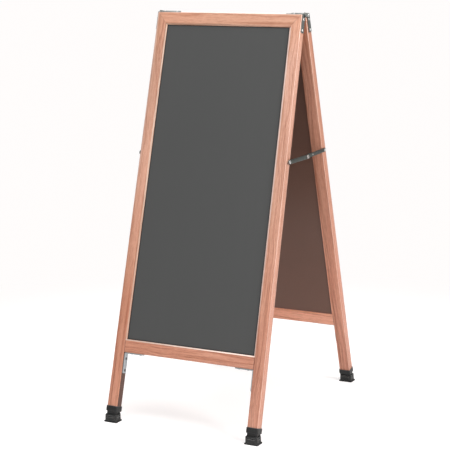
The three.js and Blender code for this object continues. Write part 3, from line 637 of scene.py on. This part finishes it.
for side in (-1, 1):
    pre, body = FACES[side], BODY[side]
    for hand, k in HANDS:
        xo, xl, xi = k * HALF, k * (HALF - LEG), k * (HALF - STILE)
        pts = [(xo, 0), (xi, RAIL_TOP), (xi, OPEN_END), (xl, OPEN_END + BEAD), (xl, LEG_END), (xo, LEG_END)]
        bm = prism(pts, 0, THICK, lambda x, s, t: (x, s, t))
        round_edges(bm, [((xo, 0), (xi, RAIL_TOP)), ((xi, OPEN_END), (xl, OPEN_END + BEAD))])
        g = k * (HALF - STILE + GROOVE)
        cut = [fixed(bead_along_s(k, OPEN_END + BEAD + 0.5)),
               box_bm(min(g, xi - k * 3), max(g, xi - k * 3), RAIL_TOP - GROOVE, RAIL_END - 5, G0, G1)]
        for s in (13, 43.5):
            cut.append(screw_hole(k * HALF, s, MIDT, 0))
        wood(f"oak_{pre}_stile_{hand}", side, bm, "s", body, f"{pre}_stile_{hand}", cut)
    m = 0.35
    pts = [(-HALF + m, 0), (HALF - m, 0), (HALF - STILE - m, RAIL_TOP), (-HALF + STILE + m, RAIL_TOP)]
    bm = prism(pts, 0, THICK, lambda x, s, t: (x, s, t))
    round_edges(bm, [(pts[0], pts[3]), (pts[1], pts[2])])
    cut = [fixed(bead_along_x(RAIL_TOP - TOP_BEAD, 1, TOP_BEAD / BEAD)),
           box_bm(-HALF + STILE - GROOVE, HALF - STILE + GROOVE, RAIL_TOP - GROOVE, RAIL_TOP + 3, G0, G1)]
    for k in (-1, 1):
        cut.append(screw_hole(k * (HALF - 41), 0, MIDT, 1))
    wood(f"oak_{pre}_top_rail", side, bm, "x", body, f"{pre}_top_rail", cut, 0.003 * side)
    inn, be = HALF - LEG - 0.25, HALF - STILE - 0.35
    pts = [(-inn, RAIL_END), (-inn, OPEN_END + BEAD + 0.1), (-be, OPEN_END), (be, OPEN_END), (inn, OPEN_END + BEAD + 0.1), (inn, RAIL_END)]
    bm = prism(pts, 0, THICK, lambda x, s, t: (x, s, t))
    round_edges(bm, [(pts[0], pts[1]), (pts[1], pts[2]), (pts[3], pts[4]), (pts[4], pts[5])])
    cut = [fixed(bead_along_x(OPEN_END + BEAD, -1)),
           box_bm(-inn - 1, inn + 1, OPEN_END - 3, OPEN_END + GROOVE, G0, G1)]
    wood(f"oak_{pre}_bottom_rail", side, bm, "x", body, f"{pre}_bottom_rail", cut, 0.004)

# ------------------------------------------------------------------ boards keep their CAD shape
for side in (-1, 1):
    for node, mat in ((f"{FACES[side]}_chalkboard", SLATE), (f"{FACES[side]}_backing_board", HARDBOARD)):
        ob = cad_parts[node]
        ob.data.materials.clear()
        ob.data.materials.append(mat)
        mod = ob.modifiers.new("edge", "BEVEL")
        mod.width, mod.segments, mod.limit_method = 0.0003, 2, "ANGLE"


# ------------------------------------------------------------------ turned heads
def lathe_bm(profile, n=40):
    """profile of (radius, height) from the top of the axis to its foot; axis +Z."""
    bm = bmesh.new()
    rings = []
    for r, h in profile:
        if r < 1e-6:
            rings.append([bm.verts.new((0, 0, h))])
        else:
            rings.append([bm.verts.new((r * math.cos(2 * math.pi * i / n), r * math.sin(2 * math.pi * i / n), h)) for i in range(n)])
    for a, b in zip(rings, rings[1:]):
        for i in range(n):
            j = (i + 1) % n
            if len(a) == 1:
                bm.faces.new((a[0], b[i], b[j]))
            elif len(b) == 1:
                bm.faces.new((a[j], a[i], b[0]))
            else:
                bm.faces.new((a[j], a[i], b[i], b[j]))
    bmesh.ops.recalc_face_normals(bm, faces=bm.faces)
    return bm


def dome(r, h, seat, n=9, lip=0.35):
    """Profile of a domed head of radius r and height h above its seat."""
    pts = []
    for i in range(n):
        a = math.pi / 2 * i / (n - 1)
        pts.append((r * math.sin(a), seat + lip + (h - lip) * math.cos(a)))
    return pts + [(r, seat + lip * 0.4), (r - 0.15, seat)]


def screw_mesh(name, r, h, shank, length, mat=None):
    """A pan-head screw with a cross recess. The seat is at height 0."""
    prof = dome(r, h, 0) + [(shank, 0)]
    turns = int((length - 4) / 1.4)
    for i in range(turns):
        z = -3 - i * 1.4
        if z > -length + 3.5:
            prof += [(shank, z), (shank * 0.78, z - 0.7)]
    prof += [(shank * 0.8, -length + 3), (0, -length)]
    ob = link(name, mesh_from(name, lathe_bm(prof)))
    for a in (0, math.pi / 2):
        bm = bmesh.new()
        w = r * 0.13
        v = [bm.verts.new(p) for p in (
            (-r * 0.62, -w, h + 0.5), (r * 0.62, -w, h + 0.5), (r * 0.62, w, h + 0.5), (-r * 0.62, w, h + 0.5),
            (-r * 0.22, -w * 0.7, h - 1.35), (r * 0.22, -w * 0.7, h - 1.35), (r * 0.22, w * 0.7, h - 1.35), (-r * 0.22, w * 0.7, h - 1.35))]
        for f in ((0, 1, 2, 3), (7, 6, 5, 4), (0, 4, 5, 1), (1, 5, 6, 2), (2, 6, 7, 3), (3, 7, 4, 0)):
            bm.faces.new([v[i] for i in f])
        bmesh.ops.recalc_face_normals(bm, faces=bm.faces)
        bmesh.ops.rotate(bm, verts=bm.verts, matrix=Matrix.Rotation(a, 3, "Z"))
        boolean(ob, link("cutter", mesh_from("cutter", bm)))
    smooth(ob, 38)
    ob.data.materials.append(mat or BRIGHT)
    me = ob.data
    bpy.data.objects.remove(ob)
    return me


def plain_mesh(name, prof, mat, n=44, angle=38):
    ob = link(name, mesh_from(name, lathe_bm(prof, n)))
    smooth(ob, angle)
    ob.data.materials.append(mat)
    me = ob.data
    bpy.data.objects.remove(ob)
    return me


def place(name, me, origin, direction, spin, body, node=None, slot="screw"):
    """A turned piece in millimetres, its +Z along direction, its seat at origin (metres)."""
    z = Vector(direction).normalized()
    ref = Vector((0, 0, 1)) if abs(z.z) < 0.9 else Vector((0, 1, 0))
    x = ref.cross(z).normalized()
    y = z.cross(x)
    rot = Matrix((x, y, z)).transposed() @ Matrix.Rotation(spin, 3, "Z")
    ob = link(name, me.copy())
    ob.data.transform(Matrix.Translation(origin) @ rot.to_4x4() @ Matrix.Scale(0.001, 4))
    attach(ob, body)
    if node:
        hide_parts(node)
    return ob


def dirs(side, which):
    """A direction of one frame in the standing object: 'x', '-x', 's' (down the slope) or '-s'."""
    a, b = to_world(side, 0, 0, 0), to_world(side, *{"x": (1, 0, 0), "-x": (-1, 0, 0), "s": (0, 1, 0), "-s": (0, -1, 0)}[which])
    return b - a


SCREW_ME = screw_mesh("screw", 3.8, 2.2, 1.9, 16)
FLAT_ME = screw_mesh("flat_screw", 3.7, 0.9, 1.9, 17, HEAD)
SEAT = GAP + STEEL + 0.1
spin = 0.35
for side in (-1, 1):
    pre, body = FACES[side], BODY[side]
    for hand, k in HANDS:
        out = "x" if k > 0 else "-x"
        inn = "-x" if k > 0 else "x"
        for n, s in ((1, 13), (2, 43.5)):
            spin += 0.77
            nm = f"{pre}_hinge_screw_{hand}_{n}"
            place("fine_" + nm, SCREW_ME, to_world(side, k * (HALF + SEAT), s, MIDT), dirs(side, out), spin, body, nm)
        spin += 0.9
        nm = f"{pre}_hinge_screw_{hand}_3"
        place("fine_" + nm, SCREW_ME, to_world(side, k * (HALF - 41), -SEAT, MIDT), dirs(side, "-s"), spin, body, nm)
        im = (IRON_T0 + IRON_T1) / 2
        xin = k * (HALF - LEG)
        iseat = GAP + IRON_THICK + 0.1
        for n, d in ((1, 47), (3, 19)):
            spin += 0.6
            nm = f"{pre}_iron_screw_{hand}_{n}"
            place("fine_" + nm, FLAT_ME, to_world(side, xin - k * d, RAIL_END + iseat, im), dirs(side, "s"), spin, body, nm if n == 1 else None)
        for n, d in ((2, 17), (4, 48)):
            spin += 0.5
            nm = f"{pre}_iron_screw_{hand}_{n}"
            place("fine_" + nm, FLAT_ME, to_world(side, xin - k * iseat, RAIL_END + d, im), dirs(side, inn), spin, body, nm if n == 2 else None)


# ------------------------------------------------------------------ bent strip steel
def strip(name, rows, thick, r_edge=0.35):
    """A plate from rows of (left, right) edge points with the plate's normal; closed and edge-rounded.
    rows: list of (A, Bp, normal) with A and Bp Vectors in mm (any frame)."""
    bm = bmesh.new()
    COLS = 4
    top, low = [], []
    for A, Bp, nrm in rows:
        top.append([bm.verts.new(A.lerp(Bp, i / COLS) + nrm * thick) for i in range(COLS + 1)])
        low.append([bm.verts.new(A.lerp(Bp, i / COLS)) for i in range(COLS + 1)])
    m = len(rows)
    for a in range(m - 1):
        for i in range(COLS):
            bm.faces.new((top[a][i], top[a][i + 1], top[a + 1][i + 1], top[a + 1][i]))
            bm.faces.new((low[a][i + 1], low[a][i], low[a + 1][i], low[a + 1][i + 1]))
        bm.faces.new((low[a][0], top[a][0], top[a + 1][0], low[a + 1][0]))
        bm.faces.new((top[a][COLS], low[a][COLS], low[a + 1][COLS], top[a + 1][COLS]))
    for i in range(COLS):
        bm.faces.new((low[0][i], low[0][i + 1], top[0][i + 1], top[0][i]))
        bm.faces.new((top[-1][i], top[-1][i + 1], low[-1][i + 1], low[-1][i]))
    bmesh.ops.recalc_face_normals(bm, faces=bm.faces)
    bevel(bm, sharp_edges(bm, 60), r_edge, 2)
    return link(name, mesh_from(name, bm))


def end_widths(half, r, n=7):
    """Offsets along and half-widths for an end rounded with radius r."""
    out = []
    for i in range(n + 1):
        a = math.pi / 2 * i / n
        out.append((r - r * math.cos(a), half - r + r * math.sin(a)))
    return out


def angle_iron(name, leg_a, leg_b, bend, half, corner_r, to3d, thick):
    """An L of strip. Flat length l runs from -leg_a to +leg_b over the outer corner at 0.
    to3d(p, q, w): p along the first arm's line, q along the second's, w across the strip."""
    rows = []
    ro = bend + thick  # outer radius of the bend
    spots = []
    for dl, hw in end_widths(half, corner_r):
        spots.append(("a", leg_a - dl, hw))
    spots.append(("a", ro + 0.2, half))
    for i in range(9):
        spots.append(("c", math.pi / 2 * i / 8, half))
    spots.append(("b", ro + 0.2, half))
    for dl, hw in reversed(end_widths(half, corner_r)):
        spots.append(("b", leg_b - dl, hw))
    for kind, v, hw in spots:
        if kind == "a":
            p, q, nrm = v, 0.0, (0, -1)
        elif kind == "b":
            p, q, nrm = 0.0, v, (-1, 0)
        else:
            # centre of the bend at (ro, ro); the outer face passes radius ro
            p, q = ro - ro * math.sin(v), ro - ro * math.cos(v)
            nrm = (-math.sin(v), -math.cos(v))
        # the row is stored on the inner face, so step in by the thickness
        pi, qi = p - nrm[0] * thick, q - nrm[1] * thick
        A = to3d(pi, qi, -hw)
        Bq = to3d(pi, qi, hw)
        N2 = (to3d(p, q, 0) - to3d(pi, qi, 0)).normalized()
        rows.append((A, Bq, N2))
    return strip(name, rows, thick)


def world_from_panel(ob, side):
    for v in ob.data.vertices:
        v.co = to_world(side, *v.co)
    recalc(ob)


def recalc(ob):
    bm = bmesh.new()
    bm.from_mesh(ob.data)
    bmesh.ops.recalc_face_normals(bm, faces=bm.faces)
    bm.to_mesh(ob.data)
    bm.free()


def pivot_ts(side):
    y, z = PIVOT[0], PIVOT[1] - TOP_Z
    return side * y * CA + z * SA - BACK, side * y * SA - z * CA


def capsule_pts(p, q, half, past, n=14):
    """Outline from p to q with a round end past q."""
    dx, dy = q[0] - p[0], q[1] - p[1]
    L = math.hypot(dx, dy)
    ux, uy = dx / L, dy / L
    at = lambda l, w: (p[0] + ux * l - uy * w, p[1] + uy * l + ux * w)
    pts = [at(0, half), at(0, -half)]
    c = L + past - half
    for i in range(n + 1):
        a = -math.pi / 2 + math.pi * i / n
        pts.append(at(c + half * math.cos(a), half * math.sin(a)))
    return pts


for side in (-1, 1):
    pre, body = FACES[side], BODY[side]
    pt, ps = pivot_ts(side)
    for hand, k in HANDS:
        # corner angle: outer corner at x = HALF+GAP+STEEL, s = -(GAP+STEEL)
        ox, os_ = HALF + GAP + STEEL, -(GAP + STEEL)
        mid, half = MIDT, (ST1 - ST0) / 2
        to3 = lambda p, q, w, k=k, ox=ox, os_=os_, mid=mid: Vector((k * (ox - p), os_ + q, mid + w))
        ob = angle_iron(f"steel_{pre}_hinge_strap_{hand}", ox - (HALF - STRAP_IN), STRAP_DOWN - os_, 0.6, half, 3.0, to3, STEEL)
        if side < 0:
            prof = [(mid, GAP), (1.5, GAP), (-2.5, 2 * GAP + STEEL), (-20, 2 * GAP + STEEL),
                    (-20, 2 * GAP + 2 * STEEL), (-1.6, 2 * GAP + 2 * STEEL), (2.4, GAP + STEEL), (mid, GAP + STEEL)]
            ear = link("ear", mesh_from("ear", prism([(t, d) for t, d in prof], -16, 14, lambda t, d, s, k=k: (k * (HALF + d), s, t))))
            lim = link("lim", mesh_from("lim", prism(capsule_pts((mid, -1.5), (pt, ps), 6, 6), -1, 6, lambda t, s, d, k=k: (k * (HALF + d), s, t))))
            boolean(ear, lim, "INTERSECT")
            boolean(ob, ear, "UNION")
        else:
            disc = lathe_bm([(0, GAP + STEEL), (6, GAP + STEEL), (6, GAP), (0, GAP)], 48)
            for v in disc.verts:
                a, b, h = v.co
                v.co = (k * (HALF + h), ps + a, pt + b)
            bmesh.ops.recalc_face_normals(disc, faces=disc.faces)
            boolean(ob, link("disc", mesh_from("disc", disc)), "UNION")
        hole = screw_hole(k * HALF, ps, pt, 0, r=2.65)
        boolean(ob, link("cutter", mesh_from("cutter", hole)))
        for s in (13, 43.5):
            boolean(ob, link("cutter", mesh_from("cutter", screw_hole(k * HALF, s, MIDT, 0))))
        boolean(ob, link("cutter", mesh_from("cutter", screw_hole(k * (HALF - 41), 0, MIDT, 1))))
        world_from_panel(ob, side)
        smooth(ob, 40)
        finish_piece(ob, STRAP_MAT, body, (f"{pre}_hinge_strap_{hand}",))

        # inside corner iron: outer corner against the rail's underside and the leg's inner face
        xin = HALF - LEG - GAP
        si = RAIL_END + GAP
        midi, halfi = (IRON_T0 + IRON_T1) / 2, (IRON_T1 - IRON_T0) / 2
        to3 = lambda p, q, w, k=k, xin=xin, si=si, midi=midi: Vector((k * (xin - p), si + q, midi + w))
        ob = angle_iron(f"zinc_{pre}_corner_iron_{hand}", IRON - GAP, IRON - GAP, 0.8, halfi, 3.5, to3, IRON_THICK)
        world_from_panel(ob, side)
        smooth(ob, 40)
        finish_piece(ob, ZINC, body, (f"{pre}_corner_iron_{hand}",))

# ------------------------------------------------------------------ folding brace
def link_outline(p, q, half, past_p, past_q, n=12):
    dx, dy = q[0] - p[0], q[1] - p[1]
    L = math.hypot(dx, dy)
    ux, uy = dx / L, dy / L
    at = lambda l, w: (p[0] + ux * l - uy * w, p[1] + uy * l + ux * w)
    pts = []
    for i in range(n + 1):
        a = -math.pi / 2 + math.pi * i / n
        pts.append(at(L + past_q - half + half * math.cos(a), half * math.sin(a)))
    for i in range(n + 1):
        a = math.pi / 2 + math.pi * i / n
        pts.append(at(half - past_p + half * math.cos(a), half * math.sin(a)))
    return pts


FRONT_W, REAR_W, TAIL = 12.0, 11.0, 15.0
nBC = math.hypot(C[0] - B[0], C[1] - B[1])
uBC = ((C[0] - B[0]) / nBC, (C[1] - B[1]) / nBC)
offC = lambda l, w: (C[0] + uBC[0] * l - uBC[1] * w, C[1] + uBC[1] * l + uBC[0] * w)
nCD = math.hypot(D[0] - C[0], D[1] - C[1])
STOP = (C[0] + (D[0] - C[0]) * 41.6 / nCD, C[1] + (D[1] - C[1]) * 41.6 / nCD)

KNEE_ME = plain_mesh("knee", dome(5.4, 3.0, LINK_IN + STEEL + 0.15) + [(2.6, LINK_IN + STEEL + 0.15), (2.6, LINK_IN - 0.1), (4.2, LINK_IN - 0.1),
                     (4.2, GAP + STEEL + 0.15), (2.6, GAP + STEEL + 0.15), (2.6, GAP), (0, GAP)], DULL)
STOP_ME = plain_mesh("stop", dome(2.6, 1.1, GAP + STEEL + 0.08, lip=0.2) + [(1.5, GAP + STEEL + 0.08), (1.5, GAP), (0, GAP)], BRIGHT, 32)
REND_ME = plain_mesh("rend", dome(4.6, 2.7, GAP + STEEL + 0.1) + [(2.1, GAP + STEEL + 0.1), (2.1, GAP), (0, GAP)], BRIGHT)
RIVET_ME = plain_mesh("rivet", dome(4.4, 2.4, 2 * GAP + 2 * STEEL + 0.1) + [(2.5, 2 * GAP + 2 * STEEL + 0.1), (2.5, GAP + 0.1), (0, GAP + 0.1)], BRIGHT)
BSCREW_ME = screw_mesh("bscrew", 4.8, 2.6, 2.3, 20)
SPACER_ME = plain_mesh("spacer", [(2.6, LINK_IN - GAP), (5.2, LINK_IN - GAP), (5.5, LINK_IN - GAP - 0.3), (5.5, GAP + 0.3), (5.2, GAP), (2.6, GAP), (2.6, LINK_IN - GAP)], BRIGHT)


def side_cut(k, y, z, r):
    bm = bmesh.new()
    bmesh.ops.create_cone(bm, cap_ends=True, segments=28, radius1=r, radius2=r, depth=20)
    bmesh.ops.rotate(bm, verts=bm.verts, matrix=Matrix.Rotation(math.pi / 2, 3, "Y"))
    bmesh.ops.translate(bm, verts=bm.verts, vec=(k * (HALF + 4), y, z))
    return bm


def plate_side(name, pts, d0, d1, k, r_edge=0.4):
    bm = prism(pts, d0, d1, lambda y, z, d, k=k: (k * (HALF + d), y, z))
    bevel(bm, sharp_edges(bm, 50), r_edge, 2)
    return link(name, mesh_from(name, bm))


for hand, k in HANDS:
    out = (k, 0, 0)
    fb, rb = f"brace_front_link_{hand}", f"brace_rear_link_{hand}"
    ob = plate_side(f"steel_brace_front_link_{hand}", link_outline(B, C, FRONT_W / 2, 8, TAIL), LINK_IN, LINK_IN + STEEL, k)
    low = REAR_W / 2 + 0.45
    tab = plate_side("tab", [offC(9, low + 0.02), offC(TAIL, low + 0.25), offC(TAIL, low + 2.0), offC(9, low + 2.0)], GAP + 0.2, LINK_IN + STEEL, k, 0.35)
    boolean(ob, tab, "UNION")
    for (y, z), r in ((B, 2.5), (C, 2.8)):
        boolean(ob, link("cutter", mesh_from("cutter", side_cut(k, y, z, r))))
    ob.data.transform(Matrix.Scale(0.001, 4))
    recalc(ob)
    smooth(ob, 40)
    finish_piece(ob, STEEL_MAT, fb, (f"brace_front_link_{hand}",))
    ob = plate_side(f"steel_brace_rear_link_{hand}", link_outline(C, D, REAR_W / 2, REAR_W / 2 + 0.6, REAR_W / 2 + 1.4), GAP, GAP + STEEL, k)
    for (y, z), r in ((C, 2.8), (D, 2.3), (STOP, 1.7)):
        boolean(ob, link("cutter", mesh_from("cutter", side_cut(k, y, z, r))))
    ob.data.transform(Matrix.Scale(0.001, 4))
    recalc(ob)
    smooth(ob, 40)
    finish_piece(ob, STEEL_MAT, rb, (f"brace_rear_link_{hand}",))

    place(f"fine_brace_knee_rivet_{hand}", KNEE_ME, side_world(k, *C, 0), out, 0, fb, f"brace_knee_rivet_{hand}")
    place(f"fine_brace_stop_rivet_{hand}", STOP_ME, side_world(k, *STOP, 0), out, 0, rb, f"brace_stop_rivet_{hand}")
    place(f"fine_brace_rear_screw_{hand}", REND_ME, side_world(k, *D, 0), out, 0, rb, f"brace_rear_screw_{hand}")
    place(f"fine_brace_spacer_{hand}", SPACER_ME, side_world(k, *B, 0), out, 0, "front_frame", f"brace_spacer_{hand}")
    place(f"fine_brace_front_screw_{hand}", BSCREW_ME, side_world(k, *B, LINK_IN + STEEL + 0.15), out, 0.5, "front_frame", f"brace_front_screw_{hand}")
    place(f"fine_fold_rivet_{hand}", RIVET_ME, side_world(k, *PIVOT, 0), out, 0, "front_frame", f"fold_rivet_{hand}")


# ------------------------------------------------------------------ rubber feet
def rounded_ring(hx, ht, r, n=6):
    """Points of a rounded rectangle, the same count for every ring."""
    pts = []
    for cx, ct, a0 in ((hx - r, ht - r, 0), (-hx + r, ht - r, 90), (-hx + r, -ht + r, 180), (hx - r, -ht + r, 270)):
        for i in range(n + 1):
            a = math.radians(a0 + 90 * i / n)
            pts.append((cx + r * math.cos(a), ct + r * math.sin(a)))
    # extra points along the straights keep the sides smooth under shading
    out = []
    m = len(pts)
    for i in range(m):
        out.append(pts[i])
        j = (i + 1) % m
        if math.dist(pts[i], pts[j]) > 6:
            for q in (1, 2, 3):
                out.append((pts[i][0] + (pts[j][0] - pts[i][0]) * q / 4, pts[i][1] + (pts[j][1] - pts[i][1]) * q / 4))
    return out


def foot(name, side, k):
    """A collar and neck square with the leg, running into an upright base with a thin sole flange."""
    xc, tc = k * (HALF - LEG / 2), THICK / 2
    axis_at = lambda z: (TOP_Z + SA * (BACK + tc) - z) / CA
    on_axis = lambda s: Vector((xc, side * (SA * s + CA * (BACK + tc)), TOP_Z - CA * s + SA * (BACK + tc)))
    nrm = Vector((0, side * CA, SA))
    yb = on_axis(axis_at(BASE_H / 2)).y
    yn = on_axis(axis_at(BASE_H)).y
    # square with the leg: distance along the slope, half width, half depth, corner radius
    upper = [
        (1113.4, 15.8, 12.3, 0.8), (1102.3, 15.8, 12.3, 0.8), (1101.6, 15.95, 12.45, 1.0), (1101.1, 16.4, 12.9, 1.6),
        (1101.15, 16.9, 13.4, 2.3), (1101.7, 17.25, 13.75, 2.8), (1102.8, 17.4, 13.9, 3.0), (1107.5, 17.5, 14.0, 3.0),
        (1113.2, 17.45, 13.95, 3.0), (1114.5, 17.3, 13.8, 3.0), (1115.2, 16.8, 13.3, 2.9), (1115.5, 16.0, 12.5, 2.8),
        (1115.7, 15.2, 11.6, 2.6), (1116.3, 14.9, 11.3, 2.6),
    ]
    # level with the floor: height, half width, half depth, corner radius, centre (0 under the neck, 1 base)
    lower = [
        (20.9, 14.9, 11.3, 2.6, 0.2), (20.95, 15.5, 11.6, 2.9, 0.7), (20.7, 16.4, 12.1, 3.2, 0.95), (20.0, 17.1, 12.7, 3.4, 1),
        (18.8, 17.5, 13.1, 3.5, 1), (17.0, 17.6, 13.2, 3.5, 1), (11.0, 17.65, 13.25, 3.5, 1), (5.6, 17.7, 13.3, 3.5, 1),
        (4.3, 17.85, 13.5, 3.5, 1), (3.5, 18.4, 14.0, 3.4, 1), (3.1, 19.2, 14.7, 3.2, 1), (2.85, 19.85, 15.3, 3.1, 1),
        (2.3, 20.15, 15.55, 3.0, 1), (0.5, 20.2, 15.6, 3.0, 1), (0.12, 20.05, 15.45, 3.0, 1), (0.0, 19.7, 15.1, 2.9, 1),
    ]
    bm = bmesh.new()
    rings = []
    for s, hx, ht, r in upper:
        c = on_axis(s)
        rings.append([bm.verts.new((c + Vector((dx, 0, 0)) + nrm * dt) / 1000) for dx, dt in rounded_ring(hx, ht, r)])
    for z, hx, hy, r, w in lower:
        c = Vector((xc, yn + (yb - yn) * w, z))
        rings.append([bm.verts.new((c + Vector((dx, side * dt, 0))) / 1000) for dx, dt in rounded_ring(hx, hy, r)])
    n = len(rings[0])
    for a, b in zip(rings, rings[1:]):
        for i in range(n):
            j = (i + 1) % n
            bm.faces.new((a[i], a[j], b[j], b[i]))
    bm.faces.new(rings[0])
    bm.faces.new(rings[-1][::-1])
    bmesh.ops.recalc_face_normals(bm, faces=bm.faces)
    ob = link(name, mesh_from(name, bm))
    # moulded recesses: a slot high on each wall of the base and a shallow panel under it
    for ux, uy, half_w, half_d in ((0, 1, 11.5, 13.2), (0, -1, 11.5, 13.2), (1, 0, 7.5, 17.6), (-1, 0, 7.5, 17.6)):
        for z0, z1, deep in ((14.6, 16.8, 1.5), (5.6, 12.8, 0.45)):
            pts = [(-half_w, z0), (half_w, z0), (half_w, z1), (-half_w, z1)]
            cut = prism(pts, half_d - deep, half_d + 4, lambda w, z, d, ux=ux, uy=uy: (
                (xc + ux * d + uy * w) / 1000, (yb + uy * d + ux * w) / 1000, z / 1000))
            boolean(ob, link("cutter", mesh_from("cutter", cut)))
    smooth(ob, 42)
    return ob


for side in (-1, 1):
    pre = FACES[side]
    for hand, k in HANDS:
        ob = foot(f"rubber_{pre}_foot_{hand}", side, k)
        finish_piece(ob, RUBBER, BODY[side], (f"{pre}_foot_{hand}",))

# ------------------------------------------------------------------ floor, light, camera
bm = bmesh.new()
bmesh.ops.create_grid(bm, x_segments=1, y_segments=1, size=70)
floor = link("studio_floor", mesh_from("studio_floor", bm))
F = Nodes("studio_floor_paint")
fc = F.add("ShaderNodeTexCoord").outputs["Object"]
fn = F.noise(fc, 3, 2, 0.5)
F.link(F.ramp(fn, [(0.3, (0.78, 0.77, 0.77)), (0.7, (0.80, 0.79, 0.79))]), F.bsdf.inputs["Base Color"])
F.set(Roughness=0.9, Specular_IOR_Level=0.05)
# seen directly the paint is nearly white, and fades to the white of the backdrop with distance
dist = F.add("ShaderNodeVectorMath", operation="LENGTH")
F.link(fc, dist.inputs[0])
far = F.ramp(F.math("MULTIPLY", dist.outputs["Value"], 1 / 3.0), [(0.15, 0.0), (0.55, 1.0)], "EASE")
near = F.add("ShaderNodeEmission")
near.inputs["Color"].default_value = (1.0, 0.985, 0.98, 1)
near.inputs["Strength"].default_value = FLOOR_LIFT
lift = F.add("ShaderNodeAddShader")
F.link(F.bsdf.outputs[0], lift.inputs[0])
F.link(near.outputs[0], lift.inputs[1])
white = F.add("ShaderNodeEmission")
white.inputs["Color"].default_value = (*BACKDROP, 1)
white.inputs["Strength"].default_value = 1.0
fade = F.add("ShaderNodeMixShader")
F.link(far, fade.inputs[0])
F.link(lift.outputs[0], fade.inputs[1])
F.link(white.outputs[0], fade.inputs[2])
seen = F.add("ShaderNodeMixShader")
F.link(F.add("ShaderNodeLightPath").outputs["Is Camera Ray"], seen.inputs[0])
F.link(F.bsdf.outputs[0], seen.inputs[1])
F.link(fade.outputs[0], seen.inputs[2])
# a camera under the floor looks through it
below = F.add("ShaderNodeMixShader")
F.link(F.add("ShaderNodeNewGeometry").outputs["Backfacing"], below.inputs[0])
F.link(seen.outputs[0], below.inputs[1])
F.link(F.add("ShaderNodeBsdfTransparent").outputs[0], below.inputs[2])
F.link(below.outputs[0], F.out.inputs[0])
floor.data.materials.append(F.mat)


def area(name, loc, target, size, power, color=(1, 1, 1)):
    li = bpy.data.lights.new(name, "AREA")
    li.shape, li.size, li.size_y, li.energy, li.color = "RECTANGLE", size, size, power, color
    ob = bpy.data.objects.new(name, li)
    SCENE.collection.objects.link(ob)
    ob.location = loc
    ob.rotation_euler = (Vector(target) - Vector(loc)).to_track_quat("-Z", "Y").to_euler()
    return ob


for lamp in LAMPS:
    area(*lamp)

world = bpy.data.worlds.new("studio")
SCENE.world = world
world.use_nodes = True
wt = world.node_tree
bg = wt.nodes["Background"]
bg.inputs[0].default_value = (1.0, 0.985, 0.98, 1)
bg.inputs[1].default_value = WORLD
sky = wt.nodes.new("ShaderNodeBackground")
sky.inputs[0].default_value = (*BACKDROP, 1)
sky.inputs[1].default_value = 1.0
pick = wt.nodes.new("ShaderNodeMixShader")
wt.links.new(wt.nodes.new("ShaderNodeLightPath").outputs["Is Camera Ray"], pick.inputs[0])
wt.links.new(bg.outputs[0], pick.inputs[1])
wt.links.new(sky.outputs[0], pick.inputs[2])
wt.links.new(pick.outputs[0], wt.nodes["World Output"].inputs[0])

cam = bpy.data.cameras.new("camera")
cam.sensor_width, cam.lens = 36.0, 1515.128 / 450 * 36.0
cam.clip_start, cam.clip_end = 0.1, 60
cam_ob = bpy.data.objects.new("camera", cam)
SCENE.collection.objects.link(cam_ob)
CAM_LOC = Vector((1.96342, -3.84579, 1.30805))
cam_ob.rotation_mode = "QUATERNION"
cam_ob.location = CAM_LOC
rot = Matrix.Rotation(math.radians(27.305), 3, "Z") @ Matrix.Rotation(math.pi / 2, 3, "X") @ Matrix.Rotation(math.radians(-0.3916), 3, "Z")
cam_ob.rotation_quaternion = rot.to_quaternion()
SCENE.camera = cam_ob
# The lens is shifted down, as in the reference view. The shift follows the camera's slight roll, so
# it goes away when the camera is moved round the object and stands level.
drv = cam.driver_add("shift_y").driver
drv.type = "SUM"
var = drv.variables.new()
var.name, var.type = "roll", "TRANSFORMS"
var.targets[0].id = cam_ob
var.targets[0].transform_type = "ROT_Y"
var.targets[0].transform_space = "WORLD_SPACE"
var.targets[0].rotation_mode = "XYZ"
SHIFT = (-59.183 - 225) / 450
ROLL = cam_ob.rotation_quaternion.to_euler("XYZ").y
curve = cam.animation_data.drivers[0]
gen = curve.modifiers[0] if len(curve.modifiers) else curve.modifiers.new("GENERATOR")
gen.mode, gen.poly_order = "POLYNOMIAL", 1
gen.coefficients = (0.0, SHIFT / ROLL)

SCENE.view_settings.view_transform = "Standard"
SCENE.view_settings.look = "None"
SCENE.view_settings.exposure = 0.0
SCENE.view_settings.gamma = 1.0

bpy.context.view_layer.update()
